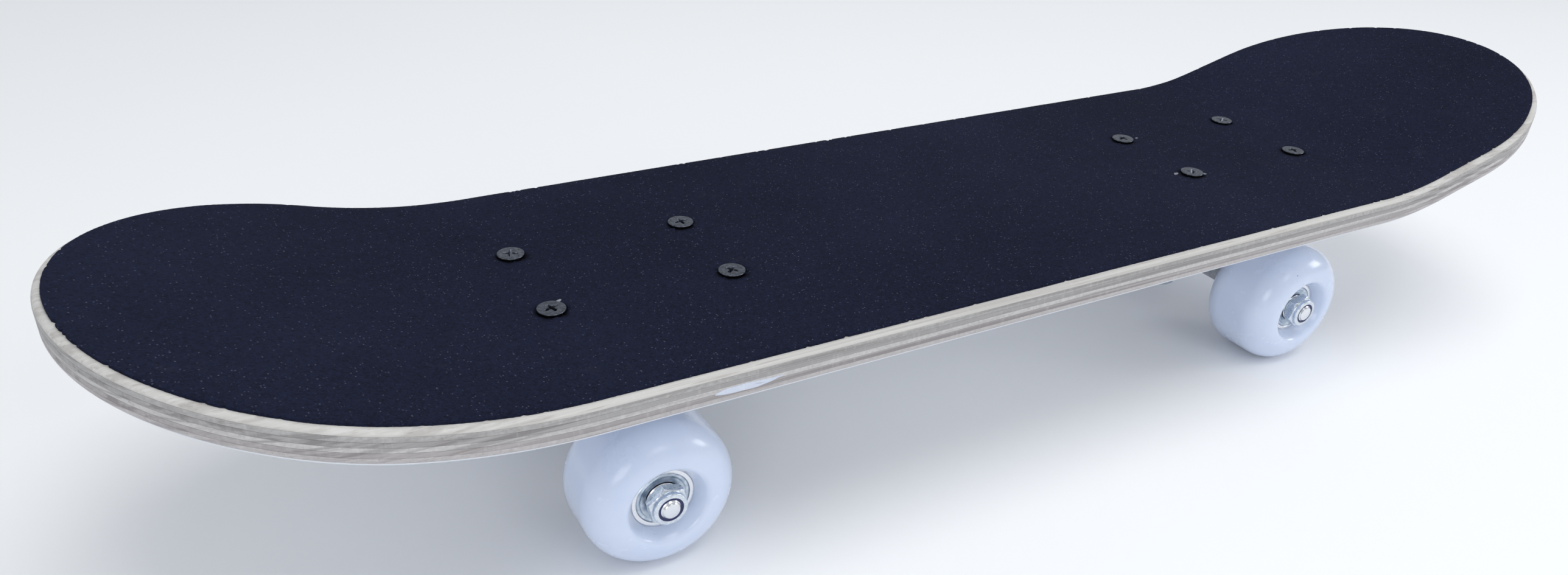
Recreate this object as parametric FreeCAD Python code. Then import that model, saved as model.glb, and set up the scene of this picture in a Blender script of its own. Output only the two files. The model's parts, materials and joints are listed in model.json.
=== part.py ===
import FreeCAD, Part
import math
import os

# A small complete skateboard, 24 inch class: pressed plywood deck, two trucks with a
# kingpin and a pivot cup, and four wheels on ball bearings.
# Millimetres. +X towards the nose, +Y to the rider's left, +Z up. Z = 0 is the ground.
# X = 0 is the middle of the overall length and Y = 0 is the board's centre plane.

Vector = FreeCAD.Vector

# ---- driving dimensions -------------------------------------------------------------

# deck
PLY_COUNT = 7
PLY_THICKNESS = 1.6
DECK_WIDTH = 150.0
TRUCK_SPACING = 282.0            # between the middles of the two bolt patterns
TOP_EDGE_RADIUS = 2.4
BOTTOM_EDGE_RADIUS = 2.8
# each end, measured along the top surface from midway between the trucks
ENDS = {
    "tail": {"kick_start": 176.0, "bend_radius": 202.0, "kick_deg": 15.2,
             "rounding_start": 231.3, "tip": 310.8},
    "nose": {"kick_start": 168.0, "bend_radius": 150.0, "kick_deg": 13.7,
             "rounding_start": 232.7, "tip": 320.1},
}
GRIP_THICKNESS = 0.9
GRIP_INSET = 2.4

# bolt pattern and hardware
PATTERN_LENGTH = 63.5
PATTERN_WIDTH = 41.3
MOUNT_HOLE_RADIUS = 2.75
SCREW_RADIUS = 2.45
SCREW_HEAD_RADIUS = 4.65
SCREW_HEAD_RIM = 0.45
SCREW_HEAD_PROUD = 1.1           # the heads stand this far above the grip tape
SCREW_TURNS_DEG = (20, 65, 38, 8, 50, 12, 72, 30)

# wheel and bearing
WHEEL_RADIUS = 26.5
WHEEL_WIDTH = 34.0
WHEEL_MIDDLE_Y = 45.0
WHEEL_SHOULDER_RADIUS = 10.8
WHEEL_LIP_RADIUS = 2.5
WHEEL_FLARE_DEG = 35.0           # of the bearing recess's wall, from the axle's line
WHEEL_FLARE_START = 12.25        # from the wheel's middle to where the recess starts to widen
WHEEL_CORE_RADIUS = 9.5
BEARING_OUTER_RADIUS = 11.0
BEARING_WIDTH = 7.0
BEARING_GAP = 10.0               # between the two bearings of a wheel
BALL_COUNT = 7
BALL_RADIUS = 1.985
BALL_PITCH_RADIUS = 7.25
RACE_RADIUS = 2.08
INNER_RING_RADIUS = 5.75
OUTER_RING_BORE = 9.0
SHIELD_DEPTH = 0.95              # of the step in the outer ring that holds the shield
SHIELD_STEP_RADIUS = 9.45
SNUG = 0.02                      # radial gap between pieces that are pressed together

# truck, in its own frame: u outward from the middle of the bolt pattern, z up
AXLE_U = 10.0
AXLE_RADIUS = 3.5
AXLE_LENGTH = 128.4
DECK_TOP_ABOVE_AXLE = 55.2
PIVOT_U = 34.0
PIVOT_ABOVE_AXLE = 33.0
PIVOT_TO_RING = 56.0
STEER_TILT_DEG = 26.0            # of the steering axis above level
BASEPLATE_THICKNESS = 6.0
BASEPLATE_HALF_LENGTH = 46.0
BASEPLATE_HALF_WIDTH = 27.0
RING_HALF_THICKNESS = 4.0
RING_RADIUS = 13.0
RING_HOLE_RADIUS = 6.0
BUSHING_RADIUS = 10.0
BUSHING_HEIGHT = 7.0
CUP_WASHER_THICKNESS = 1.2
KINGPIN_RADIUS = 4.0
KINGPIN_HEAD_DEPTH = 26.0        # from the ring's middle up to the head's seat
KINGPIN_HEAD_HEIGHT = 5.3
KINGPIN_HEAD_FLATS = 13.0
KINGPIN_BOSS_RADII = (12.0, 14.5)
KINGPIN_REACH = 19.8             # from the ring's middle down to the kingpin's end
PIVOT_STEM_RADIUS = 5.0
PIVOT_RUNNING_GAP = 0.06
PIVOT_CUP_RADIUS = 7.5
PIVOT_BOSS_RADII = (11.0, 13.0)
PIVOT_CUP_DEPTH = 6.0            # from the pivot's middle to the cup's closed end, and to its mouth
HANGER_BAR_RADIUS = 6.4
WASHER_THICKNESS = 1.0
WASHER_RADIUS = 5.5

# lock nuts: the collar stands on the hexagon and is rolled in to the lip over the nylon ring
LOCK_NUTS = {
    "mounting": {"across_flats": 8.0, "hex_height": 3.7, "height": 5.0,
                 "collar_radius": 3.75, "lip_radius": 3.1},
    "axle": {"across_flats": 12.7, "hex_height": 3.7, "height": 5.3,
             "collar_radius": 6.0, "lip_radius": 4.45},
    "kingpin": {"across_flats": 13.0, "hex_height": 4.4, "height": 6.4,
                "collar_radius": 6.1, "lip_radius": 5.0},
}

# ---- sizes that follow --------------------------------------------------------------

DECK_THICKNESS = PLY_COUNT * PLY_THICKNESS
AXLE_Z = WHEEL_RADIUS
DECK_TOP = AXLE_Z + DECK_TOP_ABOVE_AXLE
DECK_UNDERSIDE = DECK_TOP - DECK_THICKNESS
HALF_WIDTH = DECK_WIDTH / 2
BEARING_OUTER_FACE = WHEEL_MIDDLE_Y + BEARING_GAP / 2 + BEARING_WIDTH
BEARING_INNER_FACE = WHEEL_MIDDLE_Y - BEARING_GAP / 2 - BEARING_WIDTH
HANGER_HALF_LENGTH = BEARING_INNER_FACE - WASHER_THICKNESS

STEER_TILT = math.radians(STEER_TILT_DEG)
STEER_AXIS = Vector(math.cos(STEER_TILT), 0, math.sin(STEER_TILT))
KINGPIN_DOWN = Vector(math.sin(STEER_TILT), 0, -math.cos(STEER_TILT))
PIVOT = Vector(PIVOT_U, 0, AXLE_Z + PIVOT_ABOVE_AXLE)
RING = PIVOT - STEER_AXIS * PIVOT_TO_RING
AXLE_CENTRE = Vector(AXLE_U, 0, AXLE_Z)
AXLE_ALONG = (AXLE_CENTRE - RING).dot(STEER_AXIS)
AXLE_BELOW = (AXLE_CENTRE - RING).dot(KINGPIN_DOWN)

UP = Vector(0, 0, 1)
DOWN = Vector(0, 0, -1)
LEFT = Vector(0, 1, 0)


def end_profile(name):
    """Plan and height of one end: the bend's start, end and centre, and where the tip lies."""
    end = ENDS[name]
    angle = math.radians(end["kick_deg"])
    bend_length = end["bend_radius"] * angle

    def plan_x(along):
        """Distance from midway between the trucks, seen from above."""
        turned = min(angle, (along - end["kick_start"]) / end["bend_radius"])
        straight = max(0.0, along - end["kick_start"] - bend_length)
        return end["kick_start"] + end["bend_radius"] * math.sin(turned) + straight * math.cos(angle)

    return {
        "start_x": end["kick_start"],
        "radius": end["bend_radius"],
        "angle": angle,
        "rounding_x": plan_x(end["rounding_start"]),
        "tip_x": plan_x(end["tip"]),
    }


TAIL = end_profile("tail")
NOSE = end_profile("nose")
TRUCK_MIDDLE_X = (TAIL["tip_x"] - NOSE["tip_x"]) / 2


# ---- helpers ------------------------------------------------------------------------

def cylinder(radius, start, direction, length):
    return Part.makeCylinder(radius, length, start, direction)


def tube(outer_radius, inner_radius, start, direction, length):
    bore = cylinder(inner_radius, start - direction, direction, length + 2)
    return cylinder(outer_radius, start, direction, length).cut(bore)


def put(shape, position, direction, turn_deg=0.0):
    """A copy of a shape built along +Z, turned about Z, aimed along a direction and moved."""
    rotation = FreeCAD.Rotation(UP, direction).multiply(FreeCAD.Rotation(UP, turn_deg))
    moved = shape.copy()
    moved.Placement = FreeCAD.Placement(position, rotation).multiply(shape.Placement)
    return moved


def revolve(points_and_arcs, start, direction):
    """Solid of revolution of a closed (radius, height) outline, aimed along a direction.

    Each item is an end point, or (middle, end) of a three-point arc.
    """
    items = points_and_arcs
    first = items[0]
    here = Vector(first[0], 0, first[1])
    edges = []
    for item in items[1:] + [first]:
        if isinstance(item[0], tuple):
            middle, end = [Vector(radius, 0, height) for radius, height in item]
            edges.append(Part.Arc(here, middle, end).toShape())
        else:
            end = Vector(item[0], 0, item[1])
            edges.append(Part.LineSegment(here, end).toShape())
        here = end
    solid = Part.Face(Part.Wire(edges)).revolve(Vector(0, 0, 0), UP, 360)
    return put(solid, start, direction)


def corner_arc(centre, radius, from_deg, to_deg):
    """Middle and end of an arc about a (radius, height) centre, for revolve."""
    middle_deg = (from_deg + to_deg) / 2
    return tuple((centre[0] + radius * math.cos(math.radians(deg)),
                  centre[1] + radius * math.sin(math.radians(deg))) for deg in (middle_deg, to_deg))


def hexagon_prism(across_flats, height):
    corner = across_flats / math.sqrt(3)
    points = [Vector(corner * math.cos(math.radians(60 * i)), corner * math.sin(math.radians(60 * i)), 0)
              for i in range(7)]
    return Part.Face(Part.makePolygon(points)).extrude(UP * height)


def chamfered_hexagon(across_flats, height):
    """Hexagonal prism standing on Z = 0, its corners turned off at 30 degrees at both ends."""
    inner = across_flats / 2 - 0.1
    spread = inner + height / math.tan(math.radians(30))
    prism = hexagon_prism(across_flats, height)
    prism = prism.common(Part.makeCone(inner, spread, height))
    return prism.common(Part.makeCone(spread, inner, height))


def rounded_box(half_x, half_y, corner, z_low, height):
    """Upright plate with rounded corners, centred on X = Y = 0."""
    box = Part.makeBox(2 * half_x, 2 * half_y, height, Vector(-half_x, -half_y, z_low))
    upright = [edge for edge in box.Edges if edge.Vertexes[0].Point.sub(edge.Vertexes[1].Point).z != 0]
    return box.makeFillet(corner, upright)


def lock_nut(bore_radius, across_flats, hex_height, height, collar_radius, lip_radius):
    """Lock nut standing on Z = 0, and the nylon ring held in its collar."""
    lip = 0.3
    pocket_radius = (collar_radius + lip_radius) / 2
    body = chamfered_hexagon(across_flats, hex_height)
    collar = cylinder(collar_radius, Vector(0, 0, hex_height * 0.5), UP, height - hex_height * 0.5)
    rim = [edge for edge in collar.Edges if edge.BoundBox.ZMin > height - 0.01]
    collar = collar.makeFillet(lip, rim)
    nut = body.fuse(collar)
    nut = nut.cut(cylinder(bore_radius, Vector(0, 0, -1), UP, height + 2))
    nut = nut.cut(cylinder(pocket_radius, Vector(0, 0, hex_height), UP, height - hex_height - lip))
    nut = nut.cut(cylinder(lip_radius, Vector(0, 0, hex_height), UP, height))
    ring = tube(pocket_radius - SNUG, bore_radius, Vector(0, 0, hex_height + SNUG), UP,
                height - hex_height - lip - 2 * SNUG)
    return nut, ring


def save(name, solids):
    """Write one node: a solid, or a group of separate solids."""
    if not isinstance(solids, list):
        solids = [solids]
    pieces = [solid for shape in solids for solid in shape.Solids]
    shape = pieces[0] if len(pieces) == 1 else Part.makeCompound(pieces)
    if not shape.isValid():
        print("not valid:", name)
    shape.exportStep("parts/" + name + ".step")
    print(name, len(pieces), round(shape.Volume, 1))


# ---- deck ---------------------------------------------------------------------------

def deck_x(end, distance):
    """Row X of a distance from midway between the trucks, towards the tail or the nose."""
    return TRUCK_MIDDLE_X + (distance if end is NOSE else -distance)


def deck_path(depth):
    """Edges of the deck's long profile at a depth below the top surface, tail to nose."""
    overrun = 160.0
    height = DECK_TOP - depth
    edges = []
    ends = {}
    for end, sign in ((TAIL, -1), (NOSE, 1)):
        radius = end["radius"] + depth
        flat = Vector(deck_x(end, end["start_x"]), 0, height)
        centre = Vector(flat.x, 0, height + radius)

        def on_bend(angle):
            return centre + Vector(sign * radius * math.sin(angle), 0, -radius * math.cos(angle))

        bend_end = on_bend(end["angle"])
        far = bend_end + Vector(sign * math.cos(end["angle"]), 0, math.sin(end["angle"])) * overrun
        ends[sign] = (flat, on_bend(end["angle"] / 2), bend_end, far)
    tail_flat, tail_mid, tail_end, tail_far = ends[-1]
    nose_flat, nose_mid, nose_end, nose_far = ends[1]
    edges.append(Part.LineSegment(tail_far, tail_end).toShape())
    edges.append(Part.Arc(tail_end, tail_mid, tail_flat).toShape())
    edges.append(Part.LineSegment(tail_flat, nose_flat).toShape())
    edges.append(Part.Arc(nose_flat, nose_mid, nose_end).toShape())
    edges.append(Part.LineSegment(nose_end, nose_far).toShape())
    return edges, tail_far, nose_far


def slab(upper_depth, lower_depth):
    """The curved layer between two depths, wider and longer than the board."""
    upper, upper_tail, upper_nose = deck_path(upper_depth)
    lower, lower_tail, lower_nose = deck_path(lower_depth)
    closing = [Part.LineSegment(upper_nose, lower_nose).toShape(),
               Part.LineSegment(lower_tail, upper_tail).toShape()]
    wire = Part.Wire(Part.__sortEdges__(upper + lower + closing))
    face = Part.Face(wire)
    face.translate(Vector(0, -DECK_WIDTH, 0))
    return face.extrude(LEFT * (2 * DECK_WIDTH))


def outline_prism(inset):
    """Upright prism of the plan outline: straight sides and half-ellipse ends."""
    half = HALF_WIDTH - inset
    edges = []
    starts = {}
    for end, sign in ((TAIL, -1), (NOSE, 1)):
        base_x = deck_x(end, end["rounding_x"])
        reach = end["tip_x"] - end["rounding_x"] - inset
        if reach >= half:
            ellipse = Part.Ellipse(Vector(base_x, 0, 0), reach, half)
        else:
            ellipse = Part.Ellipse(Vector(base_x, half, 0), Vector(base_x + reach, 0, 0),
                                   Vector(base_x, 0, 0))
        for target in (1, -1):
            side = Vector(base_x, target * half, 0)
            tip = Vector(base_x + sign * reach, 0, 0)
            first = ellipse.parameter(side)
            last = ellipse.parameter(tip)
            turn = 2 * math.pi
            if (last - first) % turn < math.pi:
                arc = Part.ArcOfEllipse(ellipse, first, first + (last - first) % turn)
            else:
                arc = Part.ArcOfEllipse(ellipse, last, last + (first - last) % turn)
            edges.append(arc.toShape())
        starts[sign] = base_x
    for side in (1, -1):
        edges.append(Part.LineSegment(Vector(starts[-1], side * half, 0),
                                      Vector(starts[1], side * half, 0)).toShape())
    wire = Part.Wire(Part.__sortEdges__(edges))
    return Part.Face(wire).extrude(UP * 200)


def deck_blank():
    """The whole deck before it is divided into plies, with its edges rounded over."""
    blank = slab(0, DECK_THICKNESS).common(outline_prism(0))
    for radius, side in ((TOP_EDGE_RADIUS, 0), (BOTTOM_EDGE_RADIUS, DECK_THICKNESS)):
        around = []
        for edge in blank.Edges:
            middle = edge.valueAt((edge.FirstParameter + edge.LastParameter) / 2)
            runs_round = edge.BoundBox.XLength > 0.05
            if runs_round and abs(surface_height(middle.x, side) - middle.z) < 0.05:
                around.append(edge)
        blank = blank.makeFillet(radius, around)
    return blank


def surface_height(x, depth=0.0):
    """Height of the surface at a depth below the deck's top, at a row X."""
    end = NOSE if x > TRUCK_MIDDLE_X else TAIL
    distance = abs(x - TRUCK_MIDDLE_X)
    radius = end["radius"] + depth
    bend_end_x = end["start_x"] + radius * math.sin(end["angle"])
    height = DECK_TOP - depth
    if distance <= end["start_x"]:
        return height
    if distance <= bend_end_x:
        return height + radius - math.sqrt(radius ** 2 - (distance - end["start_x"]) ** 2)
    rise = radius * (1 - math.cos(end["angle"]))
    return height + rise + (distance - bend_end_x) * math.tan(end["angle"])


def make_deck():
    """Seven plies, tail to nose, numbered from the top; the screw holes run through them all."""
    blank = deck_blank()
    seats = [screw_seat(point) for point in screw_points(DECK_TOP + GRIP_THICKNESS)]
    tools = Part.makeCompound(seats)
    for number in range(PLY_COUNT):
        layer = slab(number * PLY_THICKNESS, (number + 1) * PLY_THICKNESS)
        save("deck_ply_%d" % (number + 1), blank.common(layer).cut(tools))
    tape = slab(-GRIP_THICKNESS, 0).common(outline_prism(GRIP_INSET))
    save("grip_tape", tape.cut(tools))


# ---- mounting hardware --------------------------------------------------------------

def screw_points(height):
    """The eight holes at a height, rear truck first."""
    points = []
    for truck in (-1, 1):
        for along in (-1, 1):
            for across in (-1, 1):
                x = TRUCK_MIDDLE_X + truck * TRUCK_SPACING / 2 + along * PATTERN_LENGTH / 2
                points.append(Vector(x, across * PATTERN_WIDTH / 2, height))
    return points


def screw_seat(point):
    """Hole and countersink for one screw; the point lies on the grip tape."""
    head_base = SCREW_HEAD_PROUD - SCREW_HEAD_RIM
    gap = 0.15
    mouth_radius = SCREW_HEAD_RADIUS - head_base + gap
    depth = mouth_radius - MOUNT_HOLE_RADIUS
    hole = cylinder(MOUNT_HOLE_RADIUS, point + UP, DOWN, 40)
    sink = Part.makeCone(mouth_radius + 1, MOUNT_HOLE_RADIUS, depth + 1, point + UP, DOWN)
    return hole.fuse(sink)


def cross_recess(width, reach, depth):
    """Cross-shaped driver recess below Z = 0, narrowing towards its floor."""
    floor_reach = reach * 0.35
    bars = []
    for turn in (0, 90):
        outline = [(-reach, 0.5), (reach, 0.5), (reach, 0), (floor_reach, -depth), (-floor_reach, -depth),
                   (-reach, 0), (-reach, 0.5)]
        points = [Vector(along, -width / 2, height) for along, height in outline]
        bar = Part.Face(Part.makePolygon(points)).extrude(LEFT * width)
        bar.rotate(Vector(0, 0, 0), UP, turn)
        bars.append(bar)
    return bars[0].fuse(bars[1])


def mounting_screw(length):
    """Flat-headed machine screw hanging from Z = 0, the top of its head."""
    cone_end = SCREW_HEAD_RIM + SCREW_HEAD_RADIUS - SCREW_RADIUS
    soft = 0.15
    tip = 0.5
    head_and_shank = revolve([
        (0, 0),
        (SCREW_HEAD_RADIUS - soft, 0),
        corner_arc((SCREW_HEAD_RADIUS - soft, -soft), soft, 90, 0),
        (SCREW_HEAD_RADIUS, -SCREW_HEAD_RIM),
        (SCREW_RADIUS, -cone_end),
        (SCREW_RADIUS, -length + tip),
        (SCREW_RADIUS - tip, -length),
        (0, -length),
    ], Vector(0, 0, 0), UP)
    return head_and_shank.cut(cross_recess(0.95, 2.5, 1.9))


def make_hardware():
    """Screws, lock nuts and the nylon rings of the nuts, as groups of eight."""
    past_nut = 2.0
    head_top = DECK_TOP + GRIP_THICKNESS + SCREW_HEAD_PROUD
    nut_seat = DECK_UNDERSIDE - BASEPLATE_THICKNESS
    screw = mounting_screw(head_top - nut_seat + LOCK_NUTS["mounting"]["height"] + past_nut)
    nut, ring = lock_nut(SCREW_RADIUS + SNUG, **LOCK_NUTS["mounting"])
    screws = [put(screw, point, UP, turn) for point, turn in zip(screw_points(head_top), SCREW_TURNS_DEG)]
    seats = screw_points(nut_seat)
    save("mounting_screws", screws)
    save("mounting_nuts", [put(nut, point, DOWN, turn) for point, turn in zip(seats, SCREW_TURNS_DEG)])
    save("mounting_nut_inserts", [put(ring, point, DOWN) for point in seats])


# ---- trucks, in the truck frame: X outward from the bolt pattern's middle ------------

def at(along, below, across=0.0):
    """Point from the ring's middle: along the steering axis, down the kingpin, and across."""
    return RING + STEER_AXIS * along + KINGPIN_DOWN * below + LEFT * across


def plate_across(outline, half_thickness):
    """Plate lying in the centre plane, from (along, below) corners."""
    corners = [at(along, below, -half_thickness) for along, below in outline]
    face = Part.Face(Part.makePolygon(corners + corners[:1]))
    return face.extrude(LEFT * (2 * half_thickness))


def pattern_holes():
    """The four mounting holes of one baseplate."""
    holes = []
    for along in (-1, 1):
        for across in (-1, 1):
            point = Vector(along * PATTERN_LENGTH / 2, across * PATTERN_WIDTH / 2, 0)
            holes.append(cylinder(MOUNT_HOLE_RADIUS, point, UP, 200))
    return Part.makeCompound(holes)


def baseplate():
    """Cast plate with a slanted kingpin boss, a pivot boss and stiffening ribs."""
    underside = DECK_UNDERSIDE - BASEPLATE_THICKNESS
    boss_seat = RING_HALF_THICKNESS + BUSHING_HEIGHT + CUP_WASHER_THICKNESS
    pivot_mouth = PIVOT_TO_RING - PIVOT_CUP_DEPTH - 0.5
    plate = rounded_box(BASEPLATE_HALF_LENGTH, BASEPLATE_HALF_WIDTH, 9.0, underside, BASEPLATE_THICKNESS)
    lower_rim = [edge for edge in plate.Edges if edge.BoundBox.ZMax < underside + 0.01]
    plate = plate.makeFillet(1.5, lower_rim)
    kingpin_boss = Part.makeCone(*KINGPIN_BOSS_RADII, 30, at(0, -boss_seat), KINGPIN_DOWN * -1)
    pivot_boss = Part.makeCone(*PIVOT_BOSS_RADII, 20, at(pivot_mouth, 0), STEER_AXIS)
    rib_outline = [(8, -17), (0, -34), (60, -12), (56, -7.6), (50, -10.4), (42, -13), (18, -22)]
    rib = plate_across(rib_outline, 3.0)
    body = plate.fuse([kingpin_boss, pivot_boss, rib])
    room = Part.makeBox(2 * BASEPLATE_HALF_LENGTH, 100, 100,
                        Vector(-BASEPLATE_HALF_LENGTH, -50, DECK_UNDERSIDE - 100))
    body = body.common(room)
    head_room = 0.2
    pocket = put(hexagon_prism(KINGPIN_HEAD_FLATS + 2 * head_room, 40), at(0, -KINGPIN_HEAD_DEPTH),
                 KINGPIN_DOWN * -1)
    pocket_start = at(pivot_mouth - 1, 0)
    pocket_depth = PIVOT_TO_RING + PIVOT_CUP_DEPTH + SNUG - (pivot_mouth - 1)
    pivot_pocket = cylinder(PIVOT_CUP_RADIUS + SNUG, pocket_start, STEER_AXIS, pocket_depth)
    body = body.cut(pocket)
    body = body.cut(pivot_pocket)
    body = body.cut(cylinder(KINGPIN_RADIUS + SNUG, at(0, 0), KINGPIN_DOWN * -1, 60))
    return body.cut(pattern_holes())


def pivot_cup():
    """Nylon cup in the baseplate that the hanger's stem turns in."""
    inner = PIVOT_STEM_RADIUS + PIVOT_RUNNING_GAP
    start = -PIVOT_CUP_DEPTH
    mouth_chamfer = 0.6
    return revolve([
        (inner + mouth_chamfer, start),
        (PIVOT_CUP_RADIUS, start),
        (PIVOT_CUP_RADIUS, PIVOT_CUP_DEPTH),
        (0, PIVOT_CUP_DEPTH),
        (0, inner),
        corner_arc((0, 0), inner, 90, 0),
        (inner, start + mouth_chamfer),
    ], PIVOT, STEER_AXIS)


def kingpin():
    """Hex-headed bolt through the baseplate, the bushings and the ring."""
    tip = 0.8
    length = KINGPIN_HEAD_DEPTH + KINGPIN_REACH
    shank = cylinder(KINGPIN_RADIUS, at(0, -KINGPIN_HEAD_DEPTH), KINGPIN_DOWN, length)
    shank = shank.makeChamfer(tip, [shank.Edges[index] for index in end_edges(shank, at(0, KINGPIN_REACH))])
    head = put(chamfered_hexagon(KINGPIN_HEAD_FLATS, KINGPIN_HEAD_HEIGHT), at(0, -KINGPIN_HEAD_DEPTH),
               KINGPIN_DOWN * -1)
    return shank.fuse(head)


def end_edges(solid, centre):
    """Indices of the round edges whose middle lies at a point."""
    return [index for index, edge in enumerate(solid.Edges)
            if isinstance(edge.Curve, Part.Circle) and edge.Curve.Center.sub(centre).Length < 0.01]


def bushing(outline_radius):
    """Urethane bushing standing on Z = 0, from its ring end up to its washer end."""
    hole = KINGPIN_RADIUS + 0.3
    edge = 0.8
    return revolve([
        (hole, 0),
        (BUSHING_RADIUS - edge, 0),
        corner_arc((BUSHING_RADIUS - edge, edge), edge, -90, 0),
        (outline_radius, BUSHING_HEIGHT - edge),
        (outline_radius - edge, BUSHING_HEIGHT),
        (hole, BUSHING_HEIGHT),
    ], Vector(0, 0, 0), UP)


def cup_washer():
    """Pressed washer standing on Z = 0 with its rim turned down round the bushing."""
    hole = KINGPIN_RADIUS + 0.15
    rim_inner = BUSHING_RADIUS + 0.3
    rim_outer = rim_inner + CUP_WASHER_THICKNESS
    drop = 1.4
    return revolve([
        (hole, 0),
        (rim_inner, 0),
        (rim_inner, -drop),
        (rim_outer, -drop),
        (rim_outer, 0.2),
        corner_arc((rim_outer - 1.0, CUP_WASHER_THICKNESS - 1.0), 1.0, 0, 90),
        (hole, CUP_WASHER_THICKNESS),
    ], Vector(0, 0, 0), UP)


def hanger():
    """Cast hanger: ring, centre web, side wings, axle bar and pivot stem."""
    ring = cylinder(RING_RADIUS, at(0, -RING_HALF_THICKNESS), KINGPIN_DOWN, 2 * RING_HALF_THICKNESS)
    ring = ring.makeFillet(1.2, ring.Edges[0:1] + ring.Edges[2:3])
    bar = cylinder(HANGER_BAR_RADIUS, at(AXLE_ALONG, AXLE_BELOW, -HANGER_HALF_LENGTH), LEFT,
                   2 * HANGER_HALF_LENGTH)
    bar = bar.makeChamfer(1.0, bar.Edges[0:1] + bar.Edges[2:3])
    web_outline = [(10, -4), (10, 4), (12.2, 6), (12.2, AXLE_BELOW), (27, AXLE_BELOW),
                   (45, 4.4), (45, -4.4), (30, -4)]
    web = plate_across(web_outline, 4.5)
    stem = cylinder(PIVOT_STEM_RADIUS, at(38, 0), STEER_AXIS, PIVOT_TO_RING - 38)
    stem_ball = Part.makeSphere(PIVOT_STEM_RADIUS, PIVOT)
    shoulder = Part.makeCone(8.0, PIVOT_STEM_RADIUS, 8, at(38, 0), STEER_AXIS)
    body = ring.fuse([web, stem, stem_ball, shoulder, bar, wings()])
    body = body.cut(cylinder(RING_HOLE_RADIUS, at(0, -RING_RADIUS), KINGPIN_DOWN, 2 * RING_RADIUS))
    bore = cylinder(AXLE_RADIUS + SNUG, at(AXLE_ALONG, AXLE_BELOW, -100), LEFT, 200)
    return body.cut(bore).removeSplitter()


def wings():
    """Tapered plate from the axle bar up to the stem, on both sides of the web."""
    to_pivot = PIVOT - AXLE_CENTRE
    to_pivot.normalize()
    normal = to_pivot.cross(LEFT)
    half_thickness = 3.2
    outline = [(-1, 21.0), (7, 19.5), (27, 8.0), (27, -8.0), (7, -19.5), (-1, -21.0)]
    corners = [AXLE_CENTRE + to_pivot * along + LEFT * across - normal * half_thickness
               for along, across in outline]
    face = Part.Face(Part.makePolygon(corners + corners[:1]))
    return face.extrude(normal * (2 * half_thickness))


def axle():
    """Steel axle pressed through the hanger's bar."""
    shaft = cylinder(AXLE_RADIUS, Vector(AXLE_U, -AXLE_LENGTH / 2, AXLE_Z), LEFT, AXLE_LENGTH)
    return shaft.makeChamfer(0.45, shaft.Edges[0:1] + shaft.Edges[2:3])


def mirrored_pair(make):
    """One solid on each side: make(direction) builds it outwards along that direction."""
    return [make(LEFT * -1), make(LEFT)]


def on_axle(outward, distance):
    """Point on the axle's line, a distance out from the centre plane."""
    return AXLE_CENTRE + outward * distance


def speed_washers(outward):
    return [tube(WASHER_RADIUS, AXLE_RADIUS + 0.1, on_axle(outward, distance), outward, WASHER_THICKNESS)
            for distance in (HANGER_HALF_LENGTH, BEARING_OUTER_FACE)]


def bearing_faces(outward):
    """Inner ends of the two bearings on one side, as (point, direction towards the wheel's outside)."""
    near = on_axle(outward, BEARING_INNER_FACE)
    far = on_axle(outward, BEARING_OUTER_FACE)
    return ((near, outward), (far, outward * -1))


def bearing_ring(outward, bore, rim, race_side, step_radius, step_depth):
    """Both rings of this kind on one side: a tube with a ball race cut into one wall."""
    chamfer = 0.3
    rings = []
    for start, direction in bearing_faces(outward):
        blank = tube(rim, bore, start, direction, BEARING_WIDTH)
        outer_edges = [edge for edge in blank.Edges if isinstance(edge.Curve, Part.Circle)
                       and abs(edge.Curve.Radius - race_side) < 0.01]
        blank = blank.makeChamfer(chamfer, outer_edges)
        middle = start + direction * (BEARING_WIDTH / 2)
        race = Part.makeTorus(BALL_PITCH_RADIUS, RACE_RADIUS, middle, direction)
        ring = blank.cut(race)
        if step_radius:
            for face in (0, BEARING_WIDTH - step_depth):
                ring = ring.cut(cylinder(step_radius, start + direction * face, direction, step_depth))
        rings.append(ring)
    return rings


def bearing_shields(outward):
    """Thin pressed shields on both faces of both bearings, each with a rolled rim."""
    shields = []
    for start, direction in bearing_faces(outward):
        for end, facing in ((0.0, 1), (BEARING_WIDTH, -1)):
            shields.append(revolve([
                (6.05, 0.45),
                (8.0, 0.45),
                (8.3, 0.15),
                (9.2, 0.15),
                (SHIELD_STEP_RADIUS - SNUG, 0.4),
                (SHIELD_STEP_RADIUS - SNUG, SHIELD_DEPTH - SNUG),
                (8.6, SHIELD_DEPTH - SNUG),
                (8.3, 0.8),
                (6.05, 0.8),
            ], start + direction * end, direction * facing))
    return shields


def ball_spheres(start, direction, radius):
    """Evenly spaced spheres at the ball places of the bearing that begins at a point."""
    middle = start + direction * (BEARING_WIDTH / 2)
    turns = [2 * math.pi * index / BALL_COUNT for index in range(BALL_COUNT)]
    spokes = [Vector(math.cos(turn), 0, math.sin(turn)) for turn in turns]
    return [Part.makeSphere(radius, middle + spoke * BALL_PITCH_RADIUS, spoke) for spoke in spokes]


def bearing_balls(outward):
    return [ball for start, direction in bearing_faces(outward)
            for ball in ball_spheres(start, direction, BALL_RADIUS)]


def bearing_cages(outward):
    """Crown-shaped ball cages, closed on the side that faces the wheel's middle."""
    pocket_radius = 2.06
    cages = []
    for start, direction in bearing_faces(outward):
        crown = tube(8.1, 6.4, start + direction * 2.4, direction, 3.5)
        for pocket in ball_spheres(start, direction, pocket_radius):
            crown = crown.cut(pocket)
        cages.append(crown)
    return cages


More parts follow.
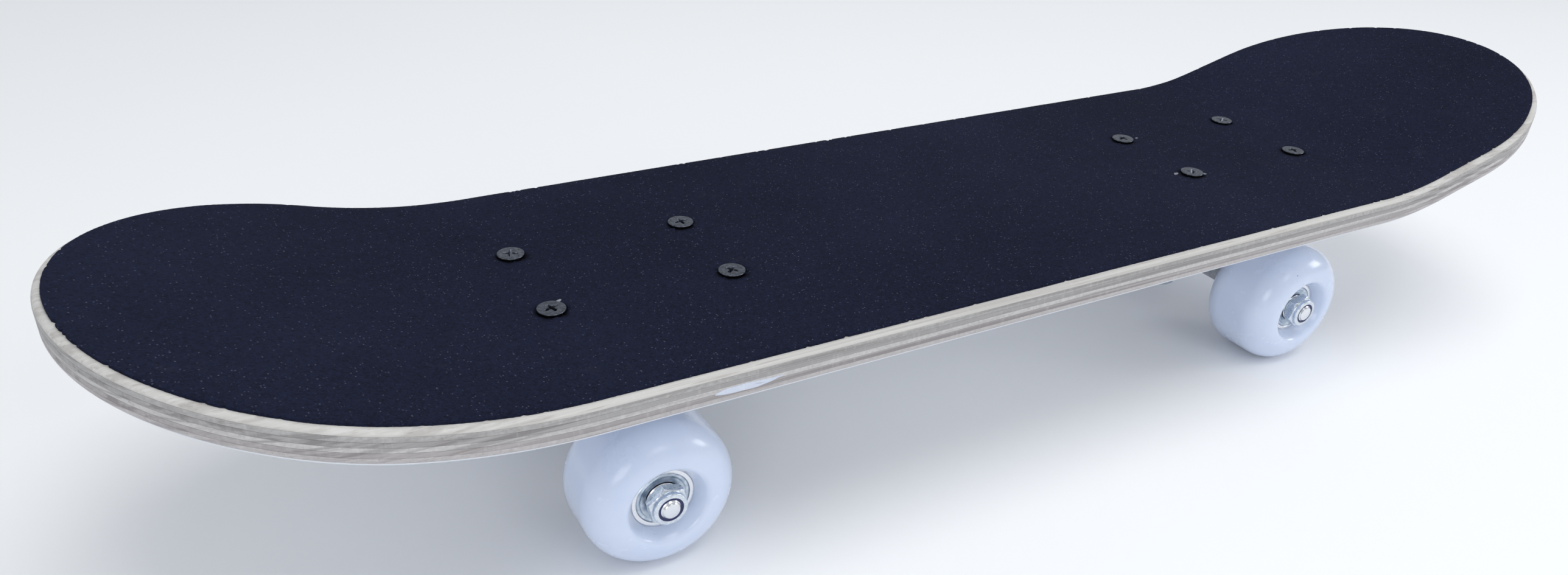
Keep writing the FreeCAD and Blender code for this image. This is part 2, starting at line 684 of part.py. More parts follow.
def wheel(outward):
    """Cast wheel with wide rounded shoulders and a seat for a bearing on each side."""
    half = WHEEL_WIDTH / 2
    seat = BEARING_OUTER_RADIUS + SNUG
    core = BEARING_GAP / 2
    flare = math.radians(WHEEL_FLARE_DEG)
    lip_start = half - WHEEL_LIP_RADIUS * (1 - math.sin(flare))
    lip_start_radius = seat + (lip_start - WHEEL_FLARE_START) * math.tan(flare)
    lip_centre = (lip_start_radius + WHEEL_LIP_RADIUS * math.cos(flare), half - WHEEL_LIP_RADIUS)
    shoulder = (WHEEL_RADIUS - WHEEL_SHOULDER_RADIUS, half - WHEEL_SHOULDER_RADIUS)
    flip = -1
    return revolve([
        (seat, core),
        (seat, WHEEL_FLARE_START),
        (lip_start_radius, lip_start),
        corner_arc(lip_centre, WHEEL_LIP_RADIUS, 180 - WHEEL_FLARE_DEG, 90),
        (shoulder[0], half),
        corner_arc(shoulder, WHEEL_SHOULDER_RADIUS, 90, 0),
        (WHEEL_RADIUS, flip * shoulder[1]),
        corner_arc((shoulder[0], flip * shoulder[1]), WHEEL_SHOULDER_RADIUS, 0, -90),
        (lip_centre[0], flip * half),
        corner_arc((lip_centre[0], flip * lip_centre[1]), WHEEL_LIP_RADIUS, -90, WHEEL_FLARE_DEG - 180),
        (seat, flip * WHEEL_FLARE_START),
        (seat, flip * core),
        (WHEEL_CORE_RADIUS, flip * core),
        (WHEEL_CORE_RADIUS, core),
    ], on_axle(outward, WHEEL_MIDDLE_Y), outward)


def truck_frame_nodes():
    """The pieces of one truck that stay with the deck."""
    nut_seat = RING_HALF_THICKNESS + BUSHING_HEIGHT + CUP_WASHER_THICKNESS
    nut, ring = lock_nut(KINGPIN_RADIUS + SNUG, **LOCK_NUTS["kingpin"])
    up = KINGPIN_DOWN * -1
    washer_offset = RING_HALF_THICKNESS + BUSHING_HEIGHT
    return {
        "baseplate": [baseplate()],
        "pivot_cup": [pivot_cup()],
        "kingpin": [kingpin()],
        "kingpin_nut": [put(nut, at(0, nut_seat), KINGPIN_DOWN, 30)],
        "kingpin_nut_inserts": [put(ring, at(0, nut_seat), KINGPIN_DOWN)],
        "upper_bushing": [put(bushing(BUSHING_RADIUS), at(0, -RING_HALF_THICKNESS), up)],
        "lower_bushing": [put(bushing(BUSHING_RADIUS - 1.5), at(0, RING_HALF_THICKNESS), KINGPIN_DOWN)],
        "cup_washers": [put(cup_washer(), at(0, -washer_offset), up),
                        put(cup_washer(), at(0, washer_offset), KINGPIN_DOWN)],
    }


def hanger_nodes():
    """The pieces of one truck that steer, apart from the wheels."""
    nut, insert = lock_nut(AXLE_RADIUS + SNUG, **LOCK_NUTS["axle"])
    nut_seat = BEARING_OUTER_FACE + WASHER_THICKNESS
    core = BEARING_INNER_FACE + BEARING_WIDTH
    ring_profile = (AXLE_RADIUS + SNUG, INNER_RING_RADIUS, INNER_RING_RADIUS, 0, 0)
    return {
        "hanger": [hanger()],
        "axle": [axle()],
        "speed_washers": [washer for outward in (LEFT * -1, LEFT) for washer in speed_washers(outward)],
        "axle_nuts": mirrored_pair(lambda outward: put(nut, on_axle(outward, nut_seat), outward, 18)),
        "axle_nut_inserts": mirrored_pair(lambda outward: put(insert, on_axle(outward, nut_seat), outward)),
        "bearing_inner_rings": [
            ring for outward in (LEFT * -1, LEFT)
            for ring in bearing_ring(outward, *ring_profile)],
        "bearing_spacers": mirrored_pair(
            lambda outward: tube(5.0, AXLE_RADIUS + 0.1, on_axle(outward, core), outward, BEARING_GAP)),
    }


def wheel_nodes(outward):
    """One wheel and its turning bearing pieces."""
    return {
        "wheel": [wheel(outward)],
        "bearing_outer_rings": bearing_ring(outward, OUTER_RING_BORE, BEARING_OUTER_RADIUS,
                                            BEARING_OUTER_RADIUS, SHIELD_STEP_RADIUS, SHIELD_DEPTH),
        "bearing_shields": bearing_shields(outward),
        "bearing_balls": bearing_balls(outward),
        "bearing_cages": bearing_cages(outward),
    }


def to_row(shapes, end):
    """Move shapes from the truck frame to their end of the board."""
    sign = 1 if end == "front" else -1
    spot = Vector(TRUCK_MIDDLE_X + sign * TRUCK_SPACING / 2, 0, 0)
    turn = FreeCAD.Rotation(UP, 0 if sign > 0 else 180)
    placement = FreeCAD.Placement(spot, turn)
    placed = []
    for shape in shapes:
        copy = shape.copy()
        copy.Placement = placement.multiply(shape.Placement)
        placed.append(copy)
    return placed


def make_trucks():
    """Both trucks with their wheels; the rear one is the front one turned end for end."""
    shared_inserts = []
    fixed = truck_frame_nodes()
    steering = hanger_nodes()
    wheels = {"left": wheel_nodes(LEFT), "right": wheel_nodes(LEFT * -1)}
    opposite = {"left": "right", "right": "left"}
    for end in ("rear", "front"):
        for name, shapes in {**fixed, **steering}.items():
            if name == "kingpin_nut_inserts":
                shared_inserts += to_row(shapes, end)
            else:
                save(end + "_" + name, to_row(shapes, end))
        for side in ("left", "right"):
            source = side if end == "front" else opposite[side]
            for name, shapes in wheels[source].items():
                save("%s_%s_%s" % (end, side, name), to_row(shapes, end))
    save("kingpin_nut_inserts", shared_inserts)


os.makedirs("parts", exist_ok=True)
make_deck()
make_hardware()
make_trucks()
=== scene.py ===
import json
import math
import random

import bmesh
import bpy
from mathutils import Matrix, Quaternion, Vector, noise
from mathutils.geometry import delaunay_2d_cdt


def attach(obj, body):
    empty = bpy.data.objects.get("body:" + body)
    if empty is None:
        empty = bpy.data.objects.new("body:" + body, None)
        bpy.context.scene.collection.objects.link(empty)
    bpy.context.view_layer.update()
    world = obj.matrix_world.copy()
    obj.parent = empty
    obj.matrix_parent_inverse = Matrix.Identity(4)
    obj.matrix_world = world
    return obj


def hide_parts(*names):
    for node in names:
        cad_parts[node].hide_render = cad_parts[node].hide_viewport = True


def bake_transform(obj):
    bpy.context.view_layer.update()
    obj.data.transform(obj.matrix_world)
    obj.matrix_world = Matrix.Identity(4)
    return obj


# Looks of a small complete skateboard. Shapes are worked out in millimetres in the CAD's row
# frame (+X towards the nose, +Y to the left, +Z up) and become metres when a mesh is made.

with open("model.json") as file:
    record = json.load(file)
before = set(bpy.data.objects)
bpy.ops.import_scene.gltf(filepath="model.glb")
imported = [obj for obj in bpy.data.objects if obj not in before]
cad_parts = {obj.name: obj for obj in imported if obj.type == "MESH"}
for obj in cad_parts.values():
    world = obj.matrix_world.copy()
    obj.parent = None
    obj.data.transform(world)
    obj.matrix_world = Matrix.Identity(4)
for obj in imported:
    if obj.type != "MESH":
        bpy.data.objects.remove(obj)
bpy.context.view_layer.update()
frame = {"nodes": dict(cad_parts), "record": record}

MM = 0.001
UP = Vector((0, 0, 1))
SIDES = {"left": 1, "right": -1}
RECORD = frame["record"]
BODY_OF = {node: body for body, nodes in RECORD["behaviour"]["bodies"].items() for node in nodes}

# ---- driving dimensions, millimetres ----

SNUG = 0.02  # gap between pieces that are pressed together

# deck
PLY_COUNT = 7
PLY_THICKNESS = 1.6
DECK_TOP = 81.7
HALF_WIDTH = 75.0
TOP_EDGE_RADIUS = 2.4
BOTTOM_EDGE_RADIUS = 2.8
TRUCK_SPACING = 282.0
TAPE_THICKNESS = 0.9
TAPE_INSET = 2.4
PATTERN_LENGTH = 63.5
PATTERN_WIDTH = 41.3
HOLE_RADIUS = 2.75
TOP_PLY_HOLE_RADIUS = 3.4  # where the screw's cone starts
TAPE_HOLE_RADIUS = 4.2
HOLE_SEGMENTS = 32
DECK_THICKNESS = PLY_COUNT * PLY_THICKNESS
DECK_UNDERSIDE = DECK_TOP - DECK_THICKNESS
TAPE_TOP = DECK_TOP + TAPE_THICKNESS

# mounting screws
SCREW_RADIUS = 2.45
SCREW_HEAD_RADIUS = 4.65
SCREW_HEAD_RIM = 0.45
SCREW_HEAD_PROUD = 1.1
SCREW_PAST_NUT_SEAT = 7.0
SCREW_THREAD_LENGTH = 12.0
SCREW_TURNS_DEG = (20, 65, 38, 8, 50, 12, 72, 30)
BASEPLATE_THICKNESS = 6.0

# lock nuts: bore radius, across flats, hexagon height, height, collar radius, lip radius
MOUNTING_NUT = (SCREW_RADIUS + SNUG, 8.0, 3.7, 5.0, 3.75, 3.1)

# truck, in its own frame: u outward from the middle of the bolt pattern
AXLE_U = 10.0
AXLE_Z = 26.5
PIVOT_U = 34.0
PIVOT_ABOVE_AXLE = 33.0
PIVOT_TO_RING = 56.0
STEER_TILT = math.radians(26.0)
STEER_AXIS = Vector((math.cos(STEER_TILT), 0, math.sin(STEER_TILT)))
KINGPIN_DOWN = Vector((math.sin(STEER_TILT), 0, -math.cos(STEER_TILT)))
RING = Vector((PIVOT_U, 0, AXLE_Z + PIVOT_ABOVE_AXLE)) - STEER_AXIS * PIVOT_TO_RING
RING_HALF_THICKNESS = 4.0
BUSHING_RADIUS = 10.0
BUSHING_HEIGHT = 7.0
CUP_WASHER_THICKNESS = 1.2
CUP_RIM_RADIUS = 11.5
KINGPIN_RADIUS = 4.0
KINGPIN_REACH = 19.8
KINGPIN_THREAD_START = 12.4  # from the ring's middle down to the thread
KINGPIN_HEAD_DEPTH = 26.0
KINGPIN_HEAD_HEIGHT = 5.3
KINGPIN_HEAD_FLATS = 13.0
KINGPIN_NUT = (KINGPIN_RADIUS + SNUG, 13.0, 4.4, 6.4, 6.1, 5.0)
KINGPIN_NUT_SEAT = RING_HALF_THICKNESS + BUSHING_HEIGHT + CUP_WASHER_THICKNESS

# wheel, bearing and axle
WHEEL_RADIUS = 26.5
WHEEL_HALF_WIDTH = 17.0
WHEEL_MIDDLE_Y = 45.0
WHEEL_SHOULDER = 10.8
WHEEL_LIP = 2.5
WHEEL_FLARE = math.radians(35.0)
WHEEL_FLARE_START = 12.25
WHEEL_CORE_RADIUS = 9.5
BEARING_RADIUS = 11.0
BEARING_WIDTH = 7.0
BEARING_GAP = 10.0
RING_BORE = 9.0  # of the outer ring
SHIELD_STEP_RADIUS = 9.45
SHIELD_STEP_DEPTH = 0.95
AXLE_RADIUS = 3.5
AXLE_HALF_LENGTH = 64.2
WASHER_THICKNESS = 1.0
WASHER_RADIUS = 5.5
BEARING_OUTER_FACE = WHEEL_MIDDLE_Y + BEARING_GAP / 2 + BEARING_WIDTH
BEARING_INNER_FACE = WHEEL_MIDDLE_Y - BEARING_GAP / 2 - BEARING_WIDTH
AXLE_NUT_SEAT = BEARING_OUTER_FACE + WASHER_THICKNESS
AXLE_NUT = (AXLE_RADIUS + SNUG, 12.7, 3.7, 5.3, 6.0, 4.45)
AXLE_NUT_TURNS_DEG = {"rear": 42, "front": 18}

# torn strip of film on the deck's right edge, its ragged end beside the rear truck's middle
FILM_LENGTH = 24.5
FILM_HEIGHT = 2.2
FILM_PAST_TRUCK = 1.8  # of the ragged end, from the truck's middle towards the tail
FILM_BELOW_DECK_TOP = 5.3
FILM_TIP_DROP = 0.4  # of the upper edge, over the strip's length
FILM_RAGGED_SHARE = 0.18  # of the length, where the ragged end tapers
FILM_TIP_SHARE = 0.4  # of the length, where the lower edge rises to the sharp end
FILM_SLIT_SHARE = 0.63
FILM_SLIT_LENGTH = 4.4


def end_shape(kick_start, bend_radius, kick_deg, rounding_start, tip):
    """Plan places of one end, from distances measured along the deck's top surface."""
    angle = math.radians(kick_deg)

    def plan_x(along):
        bent = min(angle, (along - kick_start) / bend_radius)
        straight = max(0.0, along - kick_start - bend_radius * angle)
        return kick_start + bend_radius * math.sin(bent) + straight * math.cos(angle)

    return {"start": kick_start, "radius": bend_radius, "angle": angle,
            "rounding": plan_x(rounding_start), "tip": plan_x(tip)}


TAIL = end_shape(176.0, 202.0, 15.2, 231.3, 310.8)
NOSE = end_shape(168.0, 150.0, 13.7, 232.7, 320.1)
MIDDLE_X = (TAIL["tip"] - NOSE["tip"]) / 2
ENDS = {"rear": -1, "front": 1}


# ---- camera and lights ----

VIEW_AZIMUTH = math.radians(-30.84)
VIEW_ELEVATION = math.radians(29.56)
VIEW_ROLL = math.radians(3.17)
CAMERA_FROM_DECK = Vector((-269.3, -324.4, 182.5))  # from the deck's top, midway between trucks
LENS_MM = 26.293
SENSOR_MM = 36.0
VIEW_SHIFT_Y = 0.0131
# place in metres, width in metres, power in watts
LIGHTS = {
    "overhead": ((0.1, -0.25, 1.6), 1.1, 11.5),
    "left_window": ((-1.05, -1.25, 0.55), 0.6, 3.2),
    "right_window": ((1.5, -0.75, 0.6), 0.5, 4.0),
    "front": ((0.2, -1.5, 1.15), 0.5, 1.6),
}
SKY_COLOUR = (0.93, 0.96, 1.0, 1.0)
SKY_STRENGTH = 0.55


def make_camera():
    """Camera at the viewing angle, tilted a little about its own line of sight."""
    data = bpy.data.cameras.new("camera")
    data.sensor_width = SENSOR_MM
    data.lens = LENS_MM
    data.shift_y = VIEW_SHIFT_Y
    data.clip_start = 0.01
    data.clip_end = 50.0
    camera = bpy.data.objects.new("camera", data)
    bpy.context.scene.collection.objects.link(camera)
    level = math.cos(VIEW_ELEVATION)
    back = Vector((math.sin(VIEW_AZIMUTH) * level, -math.cos(VIEW_AZIMUTH) * level,
                   math.sin(VIEW_ELEVATION)))
    right = Vector((math.cos(VIEW_AZIMUTH), math.sin(VIEW_AZIMUTH), 0))
    right.rotate(Quaternion(back, VIEW_ROLL))
    up = back.cross(right)
    place = (Vector((MIDDLE_X, 0, DECK_TOP)) + CAMERA_FROM_DECK) * MM
    camera.matrix_world = Matrix.Translation(place) @ Matrix((right, up, back)).transposed().to_4x4()
    bpy.context.scene.camera = camera


def area_light(name, place, size, power):
    """Square soft light at a place in metres, aimed at the middle of the board."""
    data = bpy.data.lights.new(name, "AREA")
    data.size = size
    data.energy = power
    light = bpy.data.objects.new(name, data)
    bpy.context.scene.collection.objects.link(light)
    light.location = place
    light.rotation_mode = "QUATERNION"
    light.rotation_quaternion = Vector(place).to_track_quat("Z", "Y")


def make_lights():
    world = bpy.data.worlds.new("studio")
    world.use_nodes = True
    background = world.node_tree.nodes["Background"]
    background.inputs["Color"].default_value = SKY_COLOUR
    background.inputs["Strength"].default_value = SKY_STRENGTH
    bpy.context.scene.world = world
    for name, (place, size, power) in LIGHTS.items():
        area_light(name, place, size, power)
    bpy.context.scene.view_settings.view_transform = "Standard"


# ---- materials ----

class Shader:
    """One node material. Each method adds a node and gives back its main output."""

    def __init__(self, name):
        self.material = bpy.data.materials.new(name)
        self.material.use_nodes = True
        self.tree = self.material.node_tree
        self.surface = self.tree.nodes["Principled BSDF"]
        coordinates = self.node("ShaderNodeTexCoord", {})
        self.place = coordinates.outputs["Object"]
        self.facing = coordinates.outputs["Normal"]

    def node(self, kind, inputs, **settings):
        """A new node, with each input linked to a socket or set to a constant."""
        made = self.tree.nodes.new(kind)
        for name, value in settings.items():
            setattr(made, name, value)
        for name, value in inputs.items():
            self.feed(made.inputs[name], value)
        return made

    def feed(self, socket, value):
        if isinstance(value, bpy.types.NodeSocket):
            self.tree.links.new(value, socket)
        else:
            socket.default_value = value

    def stretched(self, factors, place=None):
        """Coordinates multiplied by a factor along each axis."""
        inputs = {"Vector": place or self.place, "Scale": factors}
        return self.node("ShaderNodeMapping", inputs).outputs["Vector"]

    def noise(self, scale, detail=3.0, roughness=0.5, place=None):
        inputs = {"Vector": place or self.place, "Scale": scale, "Detail": detail,
                  "Roughness": roughness}
        return self.node("ShaderNodeTexNoise", inputs).outputs["Fac"]

    def cells(self, scale, place=None):
        """Voronoi cells: the distance to the cell's middle, and a random value for the cell."""
        node = self.node("ShaderNodeTexVoronoi", {"Vector": place or self.place, "Scale": scale})
        split = self.node("ShaderNodeSeparateColor", {"Color": node.outputs["Color"]})
        return node.outputs["Distance"], split.outputs["Red"]

    def band(self, value, low, high, out_low=0.0, out_high=1.0):
        """The value's range from low to high, mapped and held between the two outputs."""
        inputs = {"Value": value, "From Min": low, "From Max": high, "To Min": out_low,
                  "To Max": out_high}
        return self.node("ShaderNodeMapRange", inputs).outputs["Result"]

    def product(self, a, b):
        return self.node("ShaderNodeMath", {0: a, 1: b}, operation="MULTIPLY").outputs[0]

    def mix(self, share, a, b):
        inputs = {"Factor": share, "A": a, "B": b}
        return self.node("ShaderNodeMix", inputs, data_type="RGBA").outputs["Result"]

    def up_part(self, vector):
        """The Z part of a direction or a place."""
        return self.node("ShaderNodeSeparateXYZ", {"Vector": vector}).outputs["Z"]

    def bump(self, height, depth_mm, strength=1.0, under=None):
        """Normals bent by a height, on top of the normals of another bump."""
        inputs = {"Height": height, "Distance": depth_mm * MM, "Strength": strength}
        if under is not None:
            inputs["Normal"] = under
        return self.node("ShaderNodeBump", inputs).outputs["Normal"]

    def done(self, **inputs):
        """Feeds the surface shader's inputs, named with underscores for spaces."""
        for name, value in inputs.items():
            self.feed(self.surface.inputs[name.replace("_", " ")], value)
        return self.material


def rgb(red, green, blue):
    """Linear colour of a display colour given from 0 to 255."""
    values = [(part / 255 + 0.055) / 1.055 for part in (red, green, blue)]
    return tuple(value ** 2.4 for value in values) + (1.0,)


def grip_material():
    """Fine mineral grit on navy-black tape, with a few bare grains that carry painted glints (painted
    highlights).
    """
    s = Shader("grip_tape")
    patches = s.band(s.noise(9.0, 4.0, 0.6), 0.35, 0.7)
    colour = s.mix(patches, rgb(19, 22, 38), rgb(28, 32, 51))
    grain_far, grain_random = s.cells(2300.0)
    colour = s.mix(s.band(grain_random, 0.25, 1.0, 0.0, 0.5), colour, rgb(38, 44, 70))
    _, dark_random = s.cells(1500.0, s.stretched((1.0, 1.1, 1.0)))
    colour = s.mix(s.band(dark_random, 0.6, 1.0, 0.0, 0.5), colour, rgb(14, 15, 24))
    # painted highlight: a few chosen grains are painted bluish grey as glints
    glint_far, glint_random = s.cells(1250.0)
    near_middle = s.band(glint_far, 0.2, 0.36, 1.0, 0.0)
    chosen = s.band(glint_random, 0.86, 0.96)
    glint = s.product(near_middle, chosen)
    colour = s.mix(s.product(glint, 0.5), colour, rgb(104, 110, 132))
    dust = s.band(s.noise(60.0, 5.0, 0.7), 0.62, 0.8, 0.0, 0.06)
    colour = s.mix(dust, colour, rgb(108, 106, 110))
    coarse = s.bump(grain_far, 0.22, 0.5)
    normal = s.bump(s.noise(3200.0, 2.0), 0.12, 0.5, coarse)
    rough = s.band(grain_random, 0.0, 1.0, 0.82, 0.97)
    return s.done(Base_Color=colour, Roughness=rough, Normal=normal, Specular_IOR_Level=0.08)


def wood_material(number, light, dark, streak):
    """Birch ply: fibres along X on odd plies and along Y on even ones.

    The top ply's sideways-facing wall is painted greyer than its upward-facing rounded edge (painted
    shade), and the bottom ply's underside is covered with pale film.
    """
    s = Shader("ply_%d" % number)
    if number % 2 == 1:
        fibre = (11.0, 1100.0, 1100.0)
        band = (4.0, 260.0, 620.0)
        pore = (60.0, 1500.0, 1500.0)
    else:
        fibre = (700.0, 9.0, 900.0)
        band = (9.0, 5.0, 560.0)
        pore = (1500.0, 60.0, 1500.0)
    shift = (0.37 * number, 0.11 * number, 0.0)
    place = s.node("ShaderNodeVectorMath", {0: s.place, 1: shift}, operation="ADD").outputs[0]
    fibres = s.noise(1.0, 5.0, 0.62, s.stretched(fibre, place))
    bands = s.noise(1.0, 3.0, 0.5, s.stretched(band, place))
    colour = s.mix(s.band(fibres, 0.32, 0.68), dark, light)
    colour = s.mix(s.band(bands, 0.5, 0.62, 0.0, 0.85), colour, streak)
    pores = s.noise(1.0, 2.0, 0.5, s.stretched(pore, place))
    colour = s.mix(s.band(pores, 0.6, 0.72, 0.0, 0.4), colour, rgb(138, 126, 120))
    saw = s.noise(1.0, 2.0, 0.5, s.stretched((700.0, 700.0, 12.0), place))
    colour = s.mix(s.band(saw, 0.55, 0.75, 0.0, 0.14), colour, rgb(228, 226, 224))
    if number == 1:
        # painted shade: the top ply's wall, where it faces sideways, is painted greyer than its
        # upward-facing rounded edge, which keeps the light colour
        wall = s.band(s.up_part(s.facing), 0.25, 0.6, 0.75, 0.0)
        painted_wall_shade = s.mix(s.band(fibres, 0.32, 0.68), streak, rgb(186, 184, 182))
        colour = s.mix(wall, colour, painted_wall_shade)
    if number == PLY_COUNT:
        under = s.band(s.up_part(s.facing), -0.5, -0.26, 1.0, 0.0)
        scratches = s.noise(1.0, 4.0, 0.6, s.stretched((30.0, 260.0, 30.0), place))
        scuffs = s.band(scratches, 0.6, 0.75, 0.0, 0.35)
        film_colour = s.mix(scuffs, rgb(222, 226, 233), rgb(188, 190, 196))
        colour = s.mix(under, colour, film_colour)
    normal = s.bump(fibres, 0.10, 0.5)
    normal = s.bump(saw, 0.05, 0.35, normal)
    rough = s.band(fibres, 0.3, 0.7, 0.5, 0.68)
    return s.done(Base_Color=colour, Roughness=rough, Normal=normal, Specular_IOR_Level=0.4)


def wheel_material(shade, stain):
    """Glossy cast urethane with faint clouding, uneven polish, and a few dark specks painted as the
    shade inside small pits.
    """
    s = Shader("wheel")
    cloud = s.noise(38.0, 4.0, 0.55)
    colour = s.mix(s.band(cloud, 0.35, 0.7), shade, stain)
    # painted shade: a few dark bluish specks stand for the shade inside small pits, which the mesh and
    # bump do not form
    pit_far, pit_random = s.cells(240.0)
    painted_pit_shade = s.product(s.band(pit_far, 0.05, 0.09, 1.0, 0.0), s.band(pit_random, 0.975, 0.98))
    colour = s.mix(painted_pit_shade, colour, rgb(92, 98, 120))
    polish = s.noise(95.0, 4.0, 0.6)
    rough = s.band(polish, 0.35, 0.7, 0.2, 0.3)
    normal = s.bump(s.noise(45.0, 1.0), 0.02, 0.15)
    return s.done(Base_Color=colour, Roughness=rough, Normal=normal,
                  Coat_Weight=0.3, Coat_Roughness=0.12, Subsurface_Weight=0.12,
                  Subsurface_Radius=(0.004, 0.004, 0.005), Subsurface_Scale=1.0)


def metal_material(name, light, dark, rough, grain, metallic, dent):
    """Metal with a mottled finish and small dents. rough is the range of its roughness."""
    s = Shader(name)
    mottle = s.noise(grain, 4.0, 0.6)
    blotch = s.noise(grain / 5, 3.0, 0.55)
    colour = s.mix(s.band(mottle, 0.35, 0.65), dark, light)
    colour = s.mix(s.band(blotch, 0.55, 0.75, 0.0, 0.45), colour, dark)
    normal = s.bump(blotch, dent * 2, 0.5)
    normal = s.bump(mottle, dent, 0.6, normal)
    return s.done(Base_Color=colour, Roughness=s.band(mottle, 0.3, 0.7, *rough), Normal=normal,
                  Metallic=metallic)


def moulded_material(name, light, dark, rough):
    """Moulded plastic or rubber with a soft mottle and small scratches."""
    s = Shader(name)
    mottle = s.noise(220.0, 4.0, 0.6)
    scratch = s.noise(1.0, 3.0, 0.6, s.stretched((1400.0, 120.0, 700.0)))
    colour = s.mix(s.band(mottle, 0.3, 0.7), dark, light)
    normal = s.bump(mottle, 0.05, 0.4)
    normal = s.bump(scratch, 0.02, 0.4, normal)
    return s.done(Base_Color=colour, Roughness=s.band(scratch, 0.35, 0.7, *rough), Normal=normal)


def floor_material():
    s = Shader("floor")
    cloud = s.noise(1.5, 3.0, 0.5)
    colour = s.mix(s.band(cloud, 0.3, 0.7), rgb(247, 248, 250), rgb(250, 251, 252))
    rough = s.band(cloud, 0.3, 0.7, 0.85, 0.95)
    return s.done(Base_Color=colour, Roughness=rough, Specular_IOR_Level=0.1)


# light, dark and streak colour of each ply, from the top
PLY_COLOURS = (
    ((208, 207, 204), (192, 190, 187), (176, 173, 170)),
    ((180, 179, 178), (158, 156, 156), (138, 136, 136)),
    ((172, 170, 170), (150, 148, 149), (132, 130, 131)),
    ((204, 202, 202), (182, 180, 181), (154, 152, 153)),
    ((178, 174, 175), (157, 153, 154), (138, 133, 134)),
    ((194, 190, 191), (177, 173, 174), (154, 149, 151)),
    ((204, 202, 204), (190, 187, 190), (172, 168, 172)),
)
# material name, light and dark colour, roughness range, grain per metre, metallic, dent in mm
METALS = {
    "zinc": ("zinc_plate", (232, 237, 243), (198, 208, 220), (0.2, 0.34), 1400.0, 1.0, 0.001),
    "shield": ("shield_zinc", (222, 230, 238), (168, 181, 196), (0.32, 0.5), 420.0, 1.0, 0.004),
    "bright": ("ground_steel", (236, 238, 242), (222, 225, 230), (0.14, 0.24), 2600.0, 1.0, 0.001),
    "black": ("black_steel", (112, 117, 128), (70, 74, 84), (0.22, 0.38), 800.0, 0.95, 0.004),
    "alloy": ("cast_alloy", (196, 198, 202), (158, 160, 166), (0.36, 0.56), 420.0, 0.95, 0.06),
    "cage": ("cage_steel", (176, 176, 178), (140, 140, 144), (0.35, 0.5), 500.0, 1.0, 0.02),
}
# material name, light and dark colour, roughness range
PLASTICS = {
    "nylon_blue": ("nylon_blue", (44, 50, 104), (30, 34, 78), (0.35, 0.5)),
    "nylon_black": ("nylon_black", (46, 46, 48), (30, 30, 32), (0.35, 0.5)),
    "bushing": ("bushing_urethane", (214, 206, 182), (196, 186, 160), (0.3, 0.42)),
    "film": ("torn_film", (212, 220, 234), (198, 207, 224), (0.25, 0.4)),
    "chip": ("pale_chip", (150, 152, 160), (104, 106, 116), (0.5, 0.7)),
}


def make_materials():
    made = {}
    for index, colours in enumerate(PLY_COLOURS):
        light, dark, streak = [rgb(*colour) for colour in colours]
        made["ply_%d" % (index + 1)] = wood_material(index + 1, light, dark, streak)
    made["grip"] = grip_material()
    made["wheel"] = wheel_material(rgb(214, 225, 246), rgb(207, 219, 243))
    for key, (name, light, dark, *finish) in METALS.items():
        made[key] = metal_material(name, rgb(*light), rgb(*dark), *finish)
    for key, (name, light, dark, rough) in PLASTICS.items():
        made[key] = moulded_material(name, rgb(*light), rgb(*dark), rough)
    return made


LOOKS = make_materials()


# ---- mesh helpers ----

def new_object(name, points, faces, material, sharp_deg=35.0):
    """A smooth-shaded mesh from points in millimetres, sharp where it turns by a larger angle."""
    mesh = bpy.data.meshes.new(name)
    mesh.from_pydata([point * MM for point in points], [], faces)
    mesh.validate()
    mesh.polygons.foreach_set("use_smooth", [True] * len(mesh.polygons))
    mesh.set_sharp_from_angle(angle=math.radians(sharp_deg))
    mesh.materials.append(material)
    made = bpy.data.objects.new(name, mesh)
    bpy.context.scene.collection.objects.link(made)
    return made


def stand_in(piece, node):
    """The piece rides where this CAD node rides, and is shown for it in its finish."""
    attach(piece, BODY_OF[node])
    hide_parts(node)


def turned_for(node, name, profile, places, look, segments=96, **options):
    """A turned piece that is shown for a CAD node."""
    stand_in(turned(name, profile, places, LOOKS[look], segments, **options), node)


def rounded(profile, radius, steps=3):
    """A closed (radius, height) profile with its sharp corners turned into small arcs."""
    made = []
    count = len(profile)
    for index, corner in enumerate(profile):
        here = Vector(corner)
        to_last = Vector(profile[index - 1]) - here
        to_next = Vector(profile[(index + 1) % count]) - here
        on_axis = here.x < 1e-6
        cut = min(radius, to_last.length * 0.45, to_next.length * 0.45)
        if on_axis or cut < 1e-6 or abs(to_last.angle_signed(to_next, 0)) > math.radians(155):
            made.append(tuple(here))
            continue
        start = here + to_last.normalized() * cut
        end = here + to_next.normalized() * cut
        for step in range(steps + 1):
            share = step / steps
            point = start * (1 - share) ** 2 + here * 2 * share * (1 - share) + end * share ** 2
            made.append(tuple(point))
    return made


def hexagon_radius(flats, turn):
    """Distance from the middle to a hexagon's side in one direction."""
    within = turn % (math.pi / 3) - math.pi / 6
    return flats / 2 / math.cos(within)


